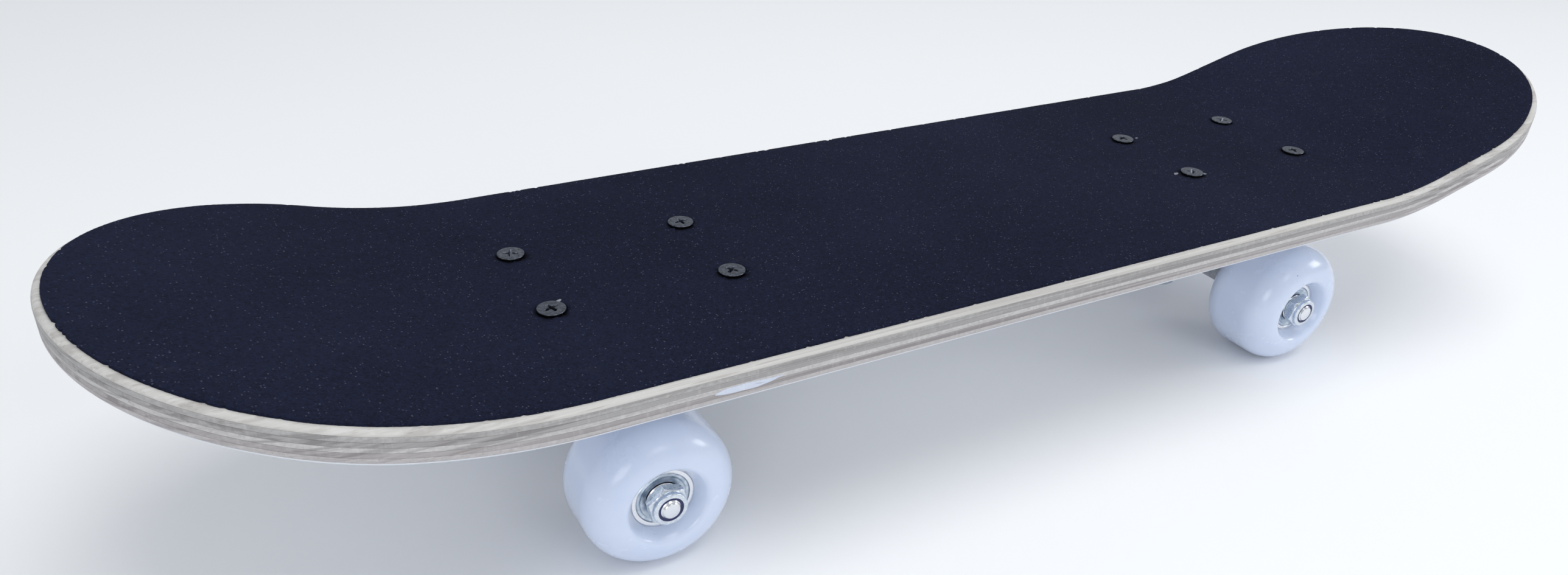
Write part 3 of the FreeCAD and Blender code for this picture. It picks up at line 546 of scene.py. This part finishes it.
def turned(name, profile, places, material, segments=96, carve=None, sharp_deg=35.0):
    """Closed pieces turned about an axis, joined in one mesh.

    A profile point is (radius, height), or (radius, height, flats) where a hexagon limits the
    radius. A place is (origin, direction, turn). carve(x, y) lowers the flat top at height 0.
    """
    points = []
    faces = []
    for origin, direction, turn in places:
        rotation = UP.rotation_difference(direction) @ Quaternion(UP, turn)
        rings = []
        for item in profile:
            radius, height = item[:2]
            if radius < 1e-6:
                drop = carve(0, 0) if carve and abs(height) < 1e-6 else 0
                rings.append([len(points)])
                points.append(origin + rotation @ Vector((0, 0, height - drop)))
                continue
            ring = []
            for segment in range(segments):
                angle = 2 * math.pi * segment / segments
                reach = min(radius, hexagon_radius(item[2], angle)) if len(item) > 2 else radius
                x = reach * math.cos(angle)
                y = reach * math.sin(angle)
                drop = carve(x, y) if carve and abs(height) < 1e-6 else 0
                ring.append(len(points))
                points.append(origin + rotation @ Vector((x, y, height - drop)))
            rings.append(ring)
        for lower, upper in zip(rings, rings[1:] + rings[:1]):
            if len(lower) == 1 and len(upper) == 1:
                continue
            for segment in range(segments):
                after = (segment + 1) % segments
                corners = []
                for ring, order in ((lower, (segment, after)), (upper, (after, segment))):
                    corners += [ring[0]] if len(ring) == 1 else [ring[order[0]], ring[order[1]]]
                faces.append(corners)
    made = new_object(name, points, faces, material, sharp_deg)
    outward_normals(made)
    return made


def outward_normals(made):
    work = bmesh.new()
    work.from_mesh(made.data)
    bmesh.ops.recalc_face_normals(work, faces=work.faces)
    work.to_mesh(made.data)
    work.free()


def threads(radius, start, end, pitch=0.9, depth=0.4):
    """Profile points of a threaded length, from one height to another."""
    count = max(1, int(abs(end - start) / pitch))
    step = (end - start) / count
    made = []
    for index in range(count):
        base = start + index * step
        made += [(radius - depth, base + step * 0.1), (radius, base + step * 0.4),
                 (radius, base + step * 0.6), (radius - depth, base + step * 0.9)]
    return made


# ---- places ----

def surface_height(x, depth):
    """Height of the board's surface at a depth below the deck's top."""
    end = NOSE if x > MIDDLE_X else TAIL
    distance = abs(x - MIDDLE_X)
    radius = end["radius"] + depth
    bend_end = end["start"] + radius * math.sin(end["angle"])
    height = DECK_TOP - depth
    if distance <= end["start"]:
        return height
    if distance <= bend_end:
        return height + radius - math.sqrt(radius ** 2 - (distance - end["start"]) ** 2)
    rise = radius * (1 - math.cos(end["angle"]))
    return height + rise + (distance - bend_end) * math.tan(end["angle"])


def row_point(point, end):
    """Row place of a point given in the truck frame."""
    sign = ENDS[end]
    return Vector((MIDDLE_X + sign * (TRUCK_SPACING / 2 + point.x), sign * point.y, point.z))


def row_direction(direction, end):
    sign = ENDS[end]
    return Vector((sign * direction.x, sign * direction.y, direction.z))


def on_kingpin(below, end):
    """Place on the kingpin's line, a distance below the ring's middle."""
    return row_point(RING + KINGPIN_DOWN * below, end)


def on_axle(end, side, distance):
    """Place on an axle, a distance out from the centre plane."""
    middle = row_point(Vector((AXLE_U, 0, AXLE_Z)), end)
    return middle + Vector((0, SIDES[side] * distance, 0))


def outward(side):
    return Vector((0, SIDES[side], 0))


def screw_xy(end, along, across):
    """Plan place of one screw of the bolt pattern. along and across are -1 or 1."""
    x = MIDDLE_X + ENDS[end] * TRUCK_SPACING / 2 + along * PATTERN_LENGTH / 2
    return x, across * PATTERN_WIDTH / 2


def screw_places(height):
    return [Vector((*screw_xy(end, along, across), height))
            for end in ENDS for along in (-1, 1) for across in (-1, 1)]


# ---- deck ----

def half_width_at(x, inset):
    """Half width of the plan outline at an X, an inset inside the deck's edge."""
    end = NOSE if x > MIDDLE_X else TAIL
    past = abs(x - MIDDLE_X) - end["rounding"]
    reach = end["tip"] - end["rounding"] - inset
    if past <= 0:
        return HALF_WIDTH - inset
    if past >= reach:
        return 0.0
    return (HALF_WIDTH - inset) * math.sqrt(1 - (past / reach) ** 2)


def outline(inset, step):
    """Closed plan outline, anticlockwise from the nose's tip, with points about a step apart."""
    half = HALF_WIDTH - inset
    straight = NOSE["rounding"] + TAIL["rounding"]
    along = max(2, round(straight / step))
    upper = []
    for end, sign in ((NOSE, 1), (TAIL, -1)):
        reach = end["tip"] - end["rounding"] - inset
        base = MIDDLE_X + sign * end["rounding"]
        around = max(8, round(math.pi / 4 * (HALF_WIDTH + end["tip"] - end["rounding"]) / step))
        turns = [math.pi / 2 * index / around for index in range(around + 1)]
        quarter = [Vector((base + sign * reach * math.cos(turn), half * math.sin(turn)))
                   for turn in turns]
        if sign > 0:
            upper += quarter
            upper += [Vector((base - straight * index / along, half)) for index in range(1, along)]
        else:
            upper += reversed(quarter)
    lower = [Vector((point.x, -point.y)) for point in reversed(upper[1:-1])]
    return upper + lower


def worn(points, depth, nick_count, seed):
    """The outline cut back by a ragged amount, with a few small nicks."""
    fine_scale = 0.9
    wide_scale = 0.09
    nick_depths = (0.25, 0.7)
    beside_nick = 0.45
    maker = random.Random(seed)
    count = len(points)
    nicks = {maker.randrange(count): maker.uniform(*nick_depths) for _ in range(nick_count)}
    made = []
    travelled = 0.0
    for index, point in enumerate(points):
        ahead = points[(index + 1) % count] - points[index - 1]
        inward = Vector((-ahead.y, ahead.x)).normalized()
        fine = noise.noise(Vector((travelled * fine_scale, seed, 0.0))) * 0.5 + 0.5
        wide = noise.noise(Vector((travelled * wide_scale, seed, 7.0))) * 0.5 + 0.5
        cut = depth * (0.5 * fine + 0.5 * wide)
        for offset in (-1, 0, 1):
            cut += nicks.get((index + offset) % count, 0.0) * (1.0 if offset == 0 else beside_nick)
        made.append(point + inward * cut)
        travelled += (points[(index + 1) % count] - point).length
    return made


def loop_edges(loops):
    """Index pairs along closed loops, whose points are listed one loop after another."""
    edges = []
    first = 0
    for loop in loops:
        edges += [(first + index, first + (index + 1) % len(loop)) for index in range(len(loop))]
        first += len(loop)
    return edges


def hole_loop(hole, radius):
    turns = [2 * math.pi * index / HOLE_SEGMENTS for index in range(HOLE_SEGMENTS)]
    return [Vector((hole.x + radius * math.cos(turn), hole.y + radius * math.sin(turn)))
            for turn in turns]


def triangles_within(edge, holes, hole_radius, spacing, inset):
    """Points and triangles that fill an outline between round holes, with a staggered grid."""
    loops = [edge] + [hole_loop(hole, hole_radius) for hole in holes]
    points = [point for loop in loops for point in loop]
    x_low = MIDDLE_X - TAIL["tip"]
    for i in range(int((NOSE["tip"] + TAIL["tip"]) / spacing) + 1):
        for j in range(int(2 * HALF_WIDTH / spacing) + 1):
            x = x_low + (i + 0.5 * (j % 2)) * spacing
            y = -HALF_WIDTH + j * spacing
            clear = all((Vector((x, y)) - hole.xy).length > hole_radius + spacing * 0.4
                        for hole in holes)
            if clear and abs(y) < half_width_at(x, inset + 0.8 + spacing * 0.35):
                points.append(Vector((x, y)))
    _, _, tris, original, _, _ = delaunay_2d_cdt(points, loop_edges(loops), [], 1, 1e-6)
    back = [sources[0] for sources in original]
    kept = []
    for tri in tris:
        corners = [back[index] for index in tri]
        middle = (points[corners[0]] + points[corners[1]] + points[corners[2]]) / 3
        if all((middle - hole.xy).length > hole_radius * 0.98 for hole in holes):
            kept.append(corners)
    return points, kept


def board_layer(name, levels, holes, hole_radius, spacing, step, material, ragged=None):
    """A closed layer of the board. levels are (inset, depth) pairs down its edge, top first."""
    rings = []
    for inset, depth in levels:
        ring = outline(inset, step)
        if ragged:
            ring = worn(ring, *ragged)
        rings.append((ring, depth))
    top_points, top_tris = triangles_within(rings[0][0], holes, hole_radius, spacing, levels[0][0])
    low_points, low_tris = triangles_within(rings[-1][0], holes, hole_radius, spacing, levels[-1][0])

    def raised(flat, depth):
        return [Vector((point.x, point.y, surface_height(point.x, depth))) for point in flat]

    points = raised(top_points, rings[0][1])
    low_start = len(points)
    points += raised(low_points, rings[-1][1])
    faces = [list(tri) for tri in top_tris]
    faces += [[low_start + index for index in reversed(tri)] for tri in low_tris]
    starts = [0]
    for ring, depth in rings[1:-1]:
        starts.append(len(points))
        points += raised(ring, depth)
    starts.append(low_start)
    edge_count = len(rings[0][0])
    for upper, lower in zip(starts, starts[1:]):
        for index in range(edge_count):
            after = (index + 1) % edge_count
            faces.append([upper + after, upper + index, lower + index, lower + after])
    for hole in range(len(holes)):
        first = edge_count + HOLE_SEGMENTS * hole
        for index in range(HOLE_SEGMENTS):
            here = first + index
            after = first + (index + 1) % HOLE_SEGMENTS
            faces.append([here, after, low_start + after, low_start + here])
    made = new_object(name, points, faces, material, 50.0)
    outward_normals(made)
    return made


def edge_inset(depth):
    """How far the deck's rounded edge lies inside its widest outline, at a depth."""
    if depth < TOP_EDGE_RADIUS:
        return TOP_EDGE_RADIUS - math.sqrt(TOP_EDGE_RADIUS ** 2 - (TOP_EDGE_RADIUS - depth) ** 2)
    into = depth - (DECK_THICKNESS - BOTTOM_EDGE_RADIUS)
    if into > 0:
        return BOTTOM_EDGE_RADIUS - math.sqrt(BOTTOM_EDGE_RADIUS ** 2 - into ** 2)
    return 0.0


def make_plies():
    """Seven plies with a fine glue line between them."""
    glue_groove = 0.09
    wall_inset = 0.06
    grid = 11.0
    edge_step = 3.0
    shares = (0.0, 0.04, 0.12, 0.24, 0.36, 0.5, 0.64, 0.76, 0.88, 0.96, 1.0)
    for number in range(1, PLY_COUNT + 1):
        levels = []
        for share in shares:
            depth = (number - 1) * PLY_THICKNESS + share * PLY_THICKNESS
            outer = (number == 1 and share == 0) or (number == PLY_COUNT and share == 1)
            groove = glue_groove if share in (0.0, 1.0) and not outer else 0.0
            levels.append((edge_inset(depth) + wall_inset + groove, depth))
        node = "deck_ply_%d" % number
        hole_radius = TOP_PLY_HOLE_RADIUS if number == 1 else HOLE_RADIUS
        layer = board_layer(node + "_wood", levels, screw_places(0), hole_radius, grid, edge_step,
                            LOOKS["ply_%d" % number])
        stand_in(layer, node)


def make_tape():
    """Grip tape with a ragged cut edge."""
    grid = 3.2
    edge_step = 0.5
    ragged = (0.45, 70, 5)  # depth, nicks, seed
    levels = [(TAPE_INSET + 0.14, -TAPE_THICKNESS), (TAPE_INSET + 0.03, -TAPE_THICKNESS + 0.12),
              (TAPE_INSET, -TAPE_THICKNESS * 0.5), (TAPE_INSET, 0.0)]
    tape = board_layer("grip_tape_grit", levels, screw_places(0), TAPE_HOLE_RADIUS, grid, edge_step,
                       LOOKS["grip"], ragged)
    stand_in(tape, "grip_tape")


def film_loops():
    """The torn film's outline, ragged at the tail end and sharp at the other, and its slit."""
    maker = random.Random(5)
    raggedness = 0.14
    steps = 10
    start = MIDDLE_X - TRUCK_SPACING / 2 - FILM_PAST_TRUCK
    top = DECK_TOP - FILM_BELOW_DECK_TOP
    upper = []
    lower = []
    for index in range(steps + 1):
        share = index / steps
        ragged = raggedness if index < steps else 0.0
        drop = FILM_TIP_DROP * share ** 2
        torn_off = FILM_HEIGHT * 0.6 * max(0.0, 1 - share / FILM_RAGGED_SHARE)
        near_tip = max(0.0, (share - (1 - FILM_TIP_SHARE)) / FILM_TIP_SHARE)
        rise = (FILM_HEIGHT - FILM_TIP_DROP) * near_tip ** 1.4
        along = start + FILM_LENGTH * share
        upper.append((along, top - drop - torn_off + maker.uniform(-ragged, ragged)))
        bottom = top - FILM_HEIGHT + torn_off * 0.4 + rise
        lower.append((along, bottom + maker.uniform(-ragged, ragged)))
    middle = start + FILM_LENGTH * FILM_SLIT_SHARE
    reach = FILM_SLIT_LENGTH / 2
    level = top - FILM_HEIGHT * 0.53
    slit = [(middle + reach, level - 0.18), (middle, level - 0.05), (middle - reach, level + 0.18),
            (middle, level + 0.1)]
    edge = softened(upper[:-1] + lower[:0:-1])
    return [[Vector(point) for point in loop] for loop in (edge, slit)]


def softened(points):
    """Corner-cut version of a closed outline."""
    cut = []
    for index, point in enumerate(points):
        after = points[(index + 1) % len(points)]
        for share in (0.25, 0.75):
            cut.append(tuple(a + (b - a) * share for a, b in zip(point, after)))
    return cut


def make_torn_film():
    """A torn strip of pale film on the right edge, beside the rear wheel."""
    face_y = -HALF_WIDTH + 0.02
    back_y = -HALF_WIDTH + 0.12
    loops = film_loops()
    flat = [point for loop in loops for point in loop]
    edges = loop_edges(loops)
    _, _, tris, original, _, _ = delaunay_2d_cdt(flat, edges, [], 1, 1e-6)
    within_slit = set(range(len(loops[0]), len(flat)))
    kept = [[original[index][0] for index in tri] for tri in tris]
    kept = [tri for tri in kept if not set(tri) <= within_slit]
    count = len(flat)
    points = [Vector((point.x, y, point.y)) for y in (face_y, back_y) for point in flat]
    faces = kept + [[count + index for index in reversed(tri)] for tri in kept]
    faces += [[a, b, count + b, count + a] for a, b in edges]
    film = new_object("torn_film", points, faces, LOOKS["film"])
    outward_normals(film)
    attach(film, "deck")


# pale flakes of bare grit beside some screw heads: which screw (end, along, across), the place
# from its middle, half length, half width, turn in degrees
FLAKES = (
    ("front", -1, -1, -6.4, 2.6, 2.0, 1.0, 20),
    ("front", -1, -1, 4.9, -2.2, 1.6, 0.9, -35),
    ("front", -1, 1, 8.2, -0.4, 1.2, 0.6, 10),
    ("front", 1, 1, 4.9, -3.6, 1.2, 0.7, 50),
    ("rear", -1, -1, 4.2, 5.2, 1.5, 0.8, 25),
)


def make_chips():
    """The grit flakes: low ragged mounds that stand on the tape."""
    maker = random.Random(11)
    corners = 9
    sunk = 0.2
    rim = 0.05
    crown_heights = (0.16, 0.28)
    points = []
    faces = []
    for end, along, across, dx, dy, half_length, half_width, turn_deg in FLAKES:
        x, y = screw_xy(end, along, across)
        middle = Vector((x + dx, y + dy, 0))
        turn = Matrix.Rotation(math.radians(turn_deg), 3, "Z")
        start = len(points)
        for height in (TAPE_TOP - sunk, TAPE_TOP + rim):
            for index in range(corners):
                angle = 2 * math.pi * index / corners
                reach = 0.75 + 0.25 * noise.noise(Vector((index * 1.7, start, 3.0)))
                offset = Vector((half_length * math.cos(angle), half_width * math.sin(angle), 0))
                points.append(middle + turn @ (offset * reach) + Vector((0, 0, height)))
        crown = len(points)
        points.append(middle + Vector((0, 0, TAPE_TOP + maker.uniform(*crown_heights))))
        for index in range(corners):
            low = start + index
            low_after = start + (index + 1) % corners
            faces.append([low, low_after, low_after + corners, low + corners])
            faces.append([low + corners, low_after + corners, crown])
        faces.append([start + index for index in reversed(range(corners))])
    chips = new_object("grit_chips", points, faces, LOOKS["chip"], 20.0)
    outward_normals(chips)
    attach(chips, "deck")


# ---- mounting hardware ----

def cross_recess(x, y):
    """Depth of the cross-shaped driver recess at a place on the screw head."""
    half_width = 0.5
    reach = 2.55
    floor_reach = 0.9
    depth = 1.7
    wall = 0.16
    deepest = 0.0
    for along, across in ((abs(x), abs(y)), (abs(y), abs(x))):
        side = min(1.0, max(0.0, (half_width - across) / wall + 0.5))
        length = min(1.0, max(0.0, (reach - along) / (reach - floor_reach)))
        deepest = max(deepest, depth * side * length)
    return deepest


def make_screws():
    """Mounting screws with cross recesses, and the lock nuts under the baseplates."""
    head_top = TAPE_TOP + SCREW_HEAD_PROUD
    nut_seat = DECK_UNDERSIDE - BASEPLATE_THICKNESS
    length = head_top - nut_seat + SCREW_PAST_NUT_SEAT
    thread_start = -length + SCREW_THREAD_LENGTH
    cone_end = SCREW_HEAD_RIM + SCREW_HEAD_RADIUS - SCREW_RADIUS
    ring_step = 0.11  # between the rings that carry the recess
    profile = [(index * ring_step, 0.0) for index in range(26)]
    profile += [(3.4, 0.0), (4.1, 0.0), (4.42, -0.02), (4.58, -0.08), (SCREW_HEAD_RADIUS, -0.2),
                (SCREW_HEAD_RADIUS, -0.36), (4.56, -SCREW_HEAD_RIM - 0.02),
                (SCREW_RADIUS, -cone_end), (SCREW_RADIUS, thread_start)]
    profile += threads(SCREW_RADIUS, thread_start, -length + 0.6, 0.8, 0.3)
    profile += [(SCREW_RADIUS - 0.6, -length), (0, -length)]
    turns = [math.radians(turn) for turn in SCREW_TURNS_DEG]
    places = [(point, UP, turn) for point, turn in zip(screw_places(head_top), turns)]
    turned_for("mounting_screws", "mounting_screw_set", profile, places, "black", 120,
               carve=cross_recess, sharp_deg=28.0)

    seats = [(point, -UP, turn) for point, turn in zip(screw_places(nut_seat), turns)]
    body, ring = lock_nut_profiles(*MOUNTING_NUT)
    turned_for("mounting_nuts", "mounting_nut_set", body, seats, "zinc")
    turned_for("mounting_nut_inserts", "mounting_nut_nylon", ring, seats, "nylon_blue", 64)


def lock_nut_profiles(bore, flats, hexagon_height, height, collar, lip):
    """Profiles of a lock nut standing on height 0, and of the nylon ring in its collar."""
    corner = flats / math.sqrt(3) - 0.02
    touch = flats / 2 - 0.15
    rise = (corner - touch) * 0.55
    steps = 5
    chamfer = [(touch + (corner - touch) * step / steps, rise * step / steps)
               for step in range(steps + 1)]
    lower = [(radius, up, flats) for radius, up in chamfer]
    upper = [(radius, hexagon_height - up, flats) for radius, up in reversed(chamfer)]
    rim = 0.45
    rim_turns = [math.pi / 2 * step / 4 for step in range(5)]
    collar_rim = [(collar - rim * (1 - math.cos(turn)), height - rim * (1 - math.sin(turn)))
                  for turn in rim_turns]
    collar_wall = [(collar + 0.12, hexagon_height), (collar, hexagon_height + 0.15)]
    pocket = (collar + lip) / 2
    lip_thickness = 0.3
    inside = [(lip, height), (lip, height - lip_thickness), (pocket, height - lip_thickness),
              (pocket, hexagon_height), (bore, hexagon_height)]
    body = [(bore, 0.3), (bore + 0.3, 0.0)] + lower + upper + collar_wall + collar_rim + inside
    ring_top = height - lip_thickness - SNUG
    ring = [(pocket - SNUG, hexagon_height + SNUG), (pocket - SNUG, ring_top), (bore, ring_top),
            (bore, hexagon_height + SNUG)]
    return body, rounded(ring, 0.12)


# ---- wheels, bearings and axles ----

def arc(centre, radius, from_deg, to_deg, steps):
    turns = [math.radians(from_deg + (to_deg - from_deg) * step / steps) for step in range(steps + 1)]
    return [(centre[0] + radius * math.cos(turn), centre[1] + radius * math.sin(turn))
            for turn in turns]


def wheel_profile():
    """Donut section: bearing seat, flared recess, lip, wide shoulder and tread."""
    seat = BEARING_RADIUS + SNUG
    half = WHEEL_HALF_WIDTH
    lip_start = half - WHEEL_LIP * (1 - math.sin(WHEEL_FLARE))
    lip_start_radius = seat + (lip_start - WHEEL_FLARE_START) * math.tan(WHEEL_FLARE)
    lip = (lip_start_radius + WHEEL_LIP * math.cos(WHEEL_FLARE), half - WHEEL_LIP)
    shoulder = (WHEEL_RADIUS - WHEEL_SHOULDER, half - WHEEL_SHOULDER)
    side = [(seat, BEARING_GAP / 2), (seat, WHEEL_FLARE_START - 0.4), (seat + 0.1, WHEEL_FLARE_START)]
    side += arc(lip, WHEEL_LIP, 180 - math.degrees(WHEEL_FLARE), 90, 12)[:-1]
    side += arc(shoulder, WHEEL_SHOULDER, 90, 0, 26)
    mirrored = [(radius, -height) for radius, height in reversed(side)]
    core = [(WHEEL_CORE_RADIUS, -BEARING_GAP / 2), (WHEEL_CORE_RADIUS, BEARING_GAP / 2)]
    return side + mirrored + core


def outer_ring_profile():
    """Outer ring: a step for the shield at each face, and the ball race between them."""
    far_step = BEARING_WIDTH - SHIELD_STEP_DEPTH
    return rounded([(RING_BORE, SHIELD_STEP_DEPTH), (SHIELD_STEP_RADIUS, SHIELD_STEP_DEPTH),
                    (SHIELD_STEP_RADIUS, 0.0), (BEARING_RADIUS, 0.0),
                    (BEARING_RADIUS, BEARING_WIDTH), (SHIELD_STEP_RADIUS, BEARING_WIDTH),
                    (SHIELD_STEP_RADIUS, far_step), (RING_BORE, far_step),
                    (RING_BORE, 4.6), (RING_BORE + 0.3, 3.5), (RING_BORE, 2.4)], 0.28)


def shield_profile():
    """Pressed shield: flat inner band, step down, and a rolled rim in the outer ring's step."""
    return rounded([(6.05, 0.5), (6.35, 0.42), (7.9, 0.42), (8.25, 0.2), (8.55, 0.12), (9.1, 0.14),
                    (9.42, 0.42), (9.42, 0.92), (8.6, 0.92), (8.3, 0.8), (6.05, 0.8)], 0.14)


def make_wheel(end, side):
    name = end + "_" + side
    out = outward(side)
    turned_for(name + "_wheel", name + "_wheel_urethane", wheel_profile(),
               [(on_axle(end, side, WHEEL_MIDDLE_Y), out, 0.0)], "wheel", 144)
    bearings = [(on_axle(end, side, BEARING_INNER_FACE), out, 0.0),
                (on_axle(end, side, BEARING_OUTER_FACE), -out, 0.0)]
    turned_for(name + "_bearing_outer_rings", name + "_outer_ring_steel", outer_ring_profile(),
               bearings, "bright")
    faces = []
    for origin, direction, turn in bearings:
        faces.append((origin, direction, turn))
        faces.append((origin + direction * BEARING_WIDTH, -direction, turn))
    turned_for(name + "_bearing_shields", name + "_shield_zinc", shield_profile(), faces, "shield",
               120)


def axle_tip(domed):
    """Profile of the axle's end, past its thread."""
    half = AXLE_HALF_LENGTH
    if domed:
        return [(AXLE_RADIUS - 0.35, half - 0.75), (3.0, half - 0.42), (2.3, half - 0.16),
                (1.2, half - 0.03), (0, half)]
    return [(AXLE_RADIUS - 0.3, half - 0.75), (AXLE_RADIUS - 0.75, half - 0.08),
            (AXLE_RADIUS - 0.9, half), (0, half)]


def make_axle(end):
    name = end + "_"
    middle = row_point(Vector((AXLE_U, 0, AXLE_Z)), end)
    upper = threads(AXLE_RADIUS, AXLE_NUT_SEAT - 0.5, AXLE_HALF_LENGTH - 0.7, 1.0, 0.35)
    upper += axle_tip(end == "front")
    profile = [(radius, -height) for radius, height in reversed(upper)] + upper
    turned_for(name + "axle", name + "axle_steel", profile, [(middle, outward("right"), 0.0)],
               "bright", 80)
    body, ring = lock_nut_profiles(*AXLE_NUT)
    nut_turn = math.radians(AXLE_NUT_TURNS_DEG[end])
    seats = [(on_axle(end, side, AXLE_NUT_SEAT), outward(side), nut_turn) for side in SIDES]
    turned_for(name + "axle_nuts", name + "axle_nut_zinc", body, seats, "zinc", 144)
    turned_for(name + "axle_nut_inserts", name + "axle_nut_nylon", ring, seats, "nylon_blue", 64)
    bore = AXLE_RADIUS + 0.1
    washer = rounded([(bore, 0), (WASHER_RADIUS, 0), (WASHER_RADIUS, WASHER_THICKNESS),
                      (bore, WASHER_THICKNESS)], 0.2)
    spots = [(on_axle(end, side, distance), outward(side), 0.0) for side in SIDES
             for distance in (BEARING_INNER_FACE - WASHER_THICKNESS, BEARING_OUTER_FACE)]
    turned_for(name + "speed_washers", name + "speed_washer_zinc", washer, spots, "zinc", 64)


# ---- trucks ----

def cast_copy(node, rounds, material):
    """A cast part with its sharp edges softened: the CAD shape re-meshed finely and relaxed."""
    grid = 0.8
    mesh = frame["nodes"][node].data.copy()
    work = bmesh.new()
    work.from_mesh(mesh)
    bmesh.ops.remove_doubles(work, verts=work.verts, dist=0.01 * MM)
    work.to_mesh(mesh)
    work.free()
    source = bpy.data.objects.new(node + "_source", mesh)
    bpy.context.scene.collection.objects.link(source)
    remesh = source.modifiers.new("remesh", "REMESH")
    remesh.mode = "VOXEL"
    remesh.voxel_size = grid * MM
    relax = source.modifiers.new("relax", "SMOOTH")
    relax.factor = 0.5
    relax.iterations = rounds
    graph = bpy.context.evaluated_depsgraph_get()
    final = bpy.data.meshes.new_from_object(source.evaluated_get(graph))
    bpy.data.objects.remove(source)
    final.name = node + "_cast"
    final.materials.clear()
    final.materials.append(material)
    final.polygons.foreach_set("use_smooth", [True] * len(final.polygons))
    piece = bpy.data.objects.new(node + "_cast", final)
    bpy.context.scene.collection.objects.link(piece)
    stand_in(piece, node)


def make_kingpin(end):
    name = end + "_"
    up = row_direction(-KINGPIN_DOWN, end)
    seat = KINGPIN_HEAD_DEPTH
    top = seat + KINGPIN_HEAD_HEIGHT
    corner = KINGPIN_HEAD_FLATS / math.sqrt(3)
    chamfer = 6.3
    thread_end = -KINGPIN_REACH + 0.8
    profile = [(0, -KINGPIN_REACH), (KINGPIN_RADIUS - 0.8, -KINGPIN_REACH)]
    profile += threads(KINGPIN_RADIUS, thread_end, -KINGPIN_THREAD_START, 1.1, 0.4)
    profile += [(KINGPIN_RADIUS, -KINGPIN_THREAD_START + 0.2), (KINGPIN_RADIUS, seat), (chamfer, seat),
                (corner, seat + 0.3, KINGPIN_HEAD_FLATS), (corner, top - 0.7, KINGPIN_HEAD_FLATS),
                (corner - 0.6, top - 0.2, KINGPIN_HEAD_FLATS), (chamfer, top), (0, top)]
    turned_for(name + "kingpin", name + "kingpin_steel", profile, [(on_kingpin(0, end), up, 0.0)],
               "zinc")
    body, _ = lock_nut_profiles(*KINGPIN_NUT)
    place = [(on_kingpin(KINGPIN_NUT_SEAT, end), -up, math.radians(30))]
    turned_for(name + "kingpin_nut", name + "kingpin_nut_zinc", body, place, "zinc", 144)


def make_bushings(end):
    """Bushings between the deck and the truck, and their cup washers."""
    name = end + "_"
    down = row_direction(KINGPIN_DOWN, end)
    offset = RING_HALF_THICKNESS + BUSHING_HEIGHT
    hole = KINGPIN_RADIUS + 0.3
    for label, outer, direction, sign in (("upper", BUSHING_RADIUS, -down, -1),
                                          ("lower", BUSHING_RADIUS - 1.5, down, 1)):
        waist = BUSHING_RADIUS + (outer - BUSHING_RADIUS) * 0.5
        profile = rounded([(hole, 0.0), (BUSHING_RADIUS, 0.0), (waist, BUSHING_HEIGHT / 2),
                           (outer, BUSHING_HEIGHT), (hole, BUSHING_HEIGHT)], 0.9, 5)
        finish = on_kingpin(sign * RING_HALF_THICKNESS, end)
        node = name + label + "_bushing"
        piece = turned(node + "_urethane", profile, [(finish, direction, 0.0)],
                       LOOKS["bushing"], 80)
        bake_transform(piece)
        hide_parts(node)
    bore = KINGPIN_RADIUS + 0.15
    inner = CUP_RIM_RADIUS - 1.2
    cup = rounded([(bore, 0), (inner, 0), (inner, -1.4), (CUP_RIM_RADIUS, -1.4),
                   (CUP_RIM_RADIUS, 0.3), (CUP_RIM_RADIUS - 0.9, CUP_WASHER_THICKNESS),
                   (bore, CUP_WASHER_THICKNESS)], 0.3)
    spots = [(on_kingpin(-offset, end), -down, 0.0), (on_kingpin(offset, end), down, 0.0)]
    turned_for(name + "cup_washers", name + "cup_washer_zinc", cup, spots, "zinc")


def make_kingpin_nylon():
    """The nylon rings of both kingpin nuts, which are one CAD node."""
    _, ring = lock_nut_profiles(*KINGPIN_NUT)
    places = [(on_kingpin(KINGPIN_NUT_SEAT, end), row_direction(KINGPIN_DOWN, end), 0.0)
              for end in ENDS]
    turned_for("kingpin_nut_inserts", "kingpin_nut_nylon", ring, places, "nylon_blue", 64)


def dress_cad_nodes():
    """Materials of the enclosed CAD parts that are shown as they are."""
    looks = {"pivot_cup": "nylon_black", "bearing_inner_rings": "bright", "bearing_spacers": "zinc",
             "bearing_balls": "bright", "bearing_cages": "cage"}
    for node, piece in frame["nodes"].items():
        if piece.hide_render:
            continue
        look = next(value for ending, value in looks.items() if node.endswith(ending))
        piece.data.materials.clear()
        piece.data.materials.append(LOOKS[look])


def make_floor():
    """A plain level grid, just under the wheels. Its sizes are in metres."""
    half = 6.0
    steps = 24
    below = 0.00002
    points = []
    faces = []
    for i in range(steps + 1):
        for j in range(steps + 1):
            x = half * (2 * i / steps - 1)
            y = half * (2 * j / steps - 1)
            points.append(Vector((x, y, -below)) / MM)
    for i in range(steps):
        for j in range(steps):
            first = i * (steps + 1) + j
            faces.append([first, first + steps + 1, first + steps + 2, first + 1])
    new_object("floor", points, faces, floor_material())


make_camera()
make_lights()
make_plies()
make_tape()
make_torn_film()
make_chips()
make_screws()
for end_name in ENDS:
    make_axle(end_name)
    cast_copy(end_name + "_hanger", 5, LOOKS["alloy"])
    cast_copy(end_name + "_baseplate", 4, LOOKS["alloy"])
    make_kingpin(end_name)
    make_bushings(end_name)
    for side_name in SIDES:
        make_wheel(end_name, side_name)
make_kingpin_nylon()
dress_cad_nodes()
make_floor()
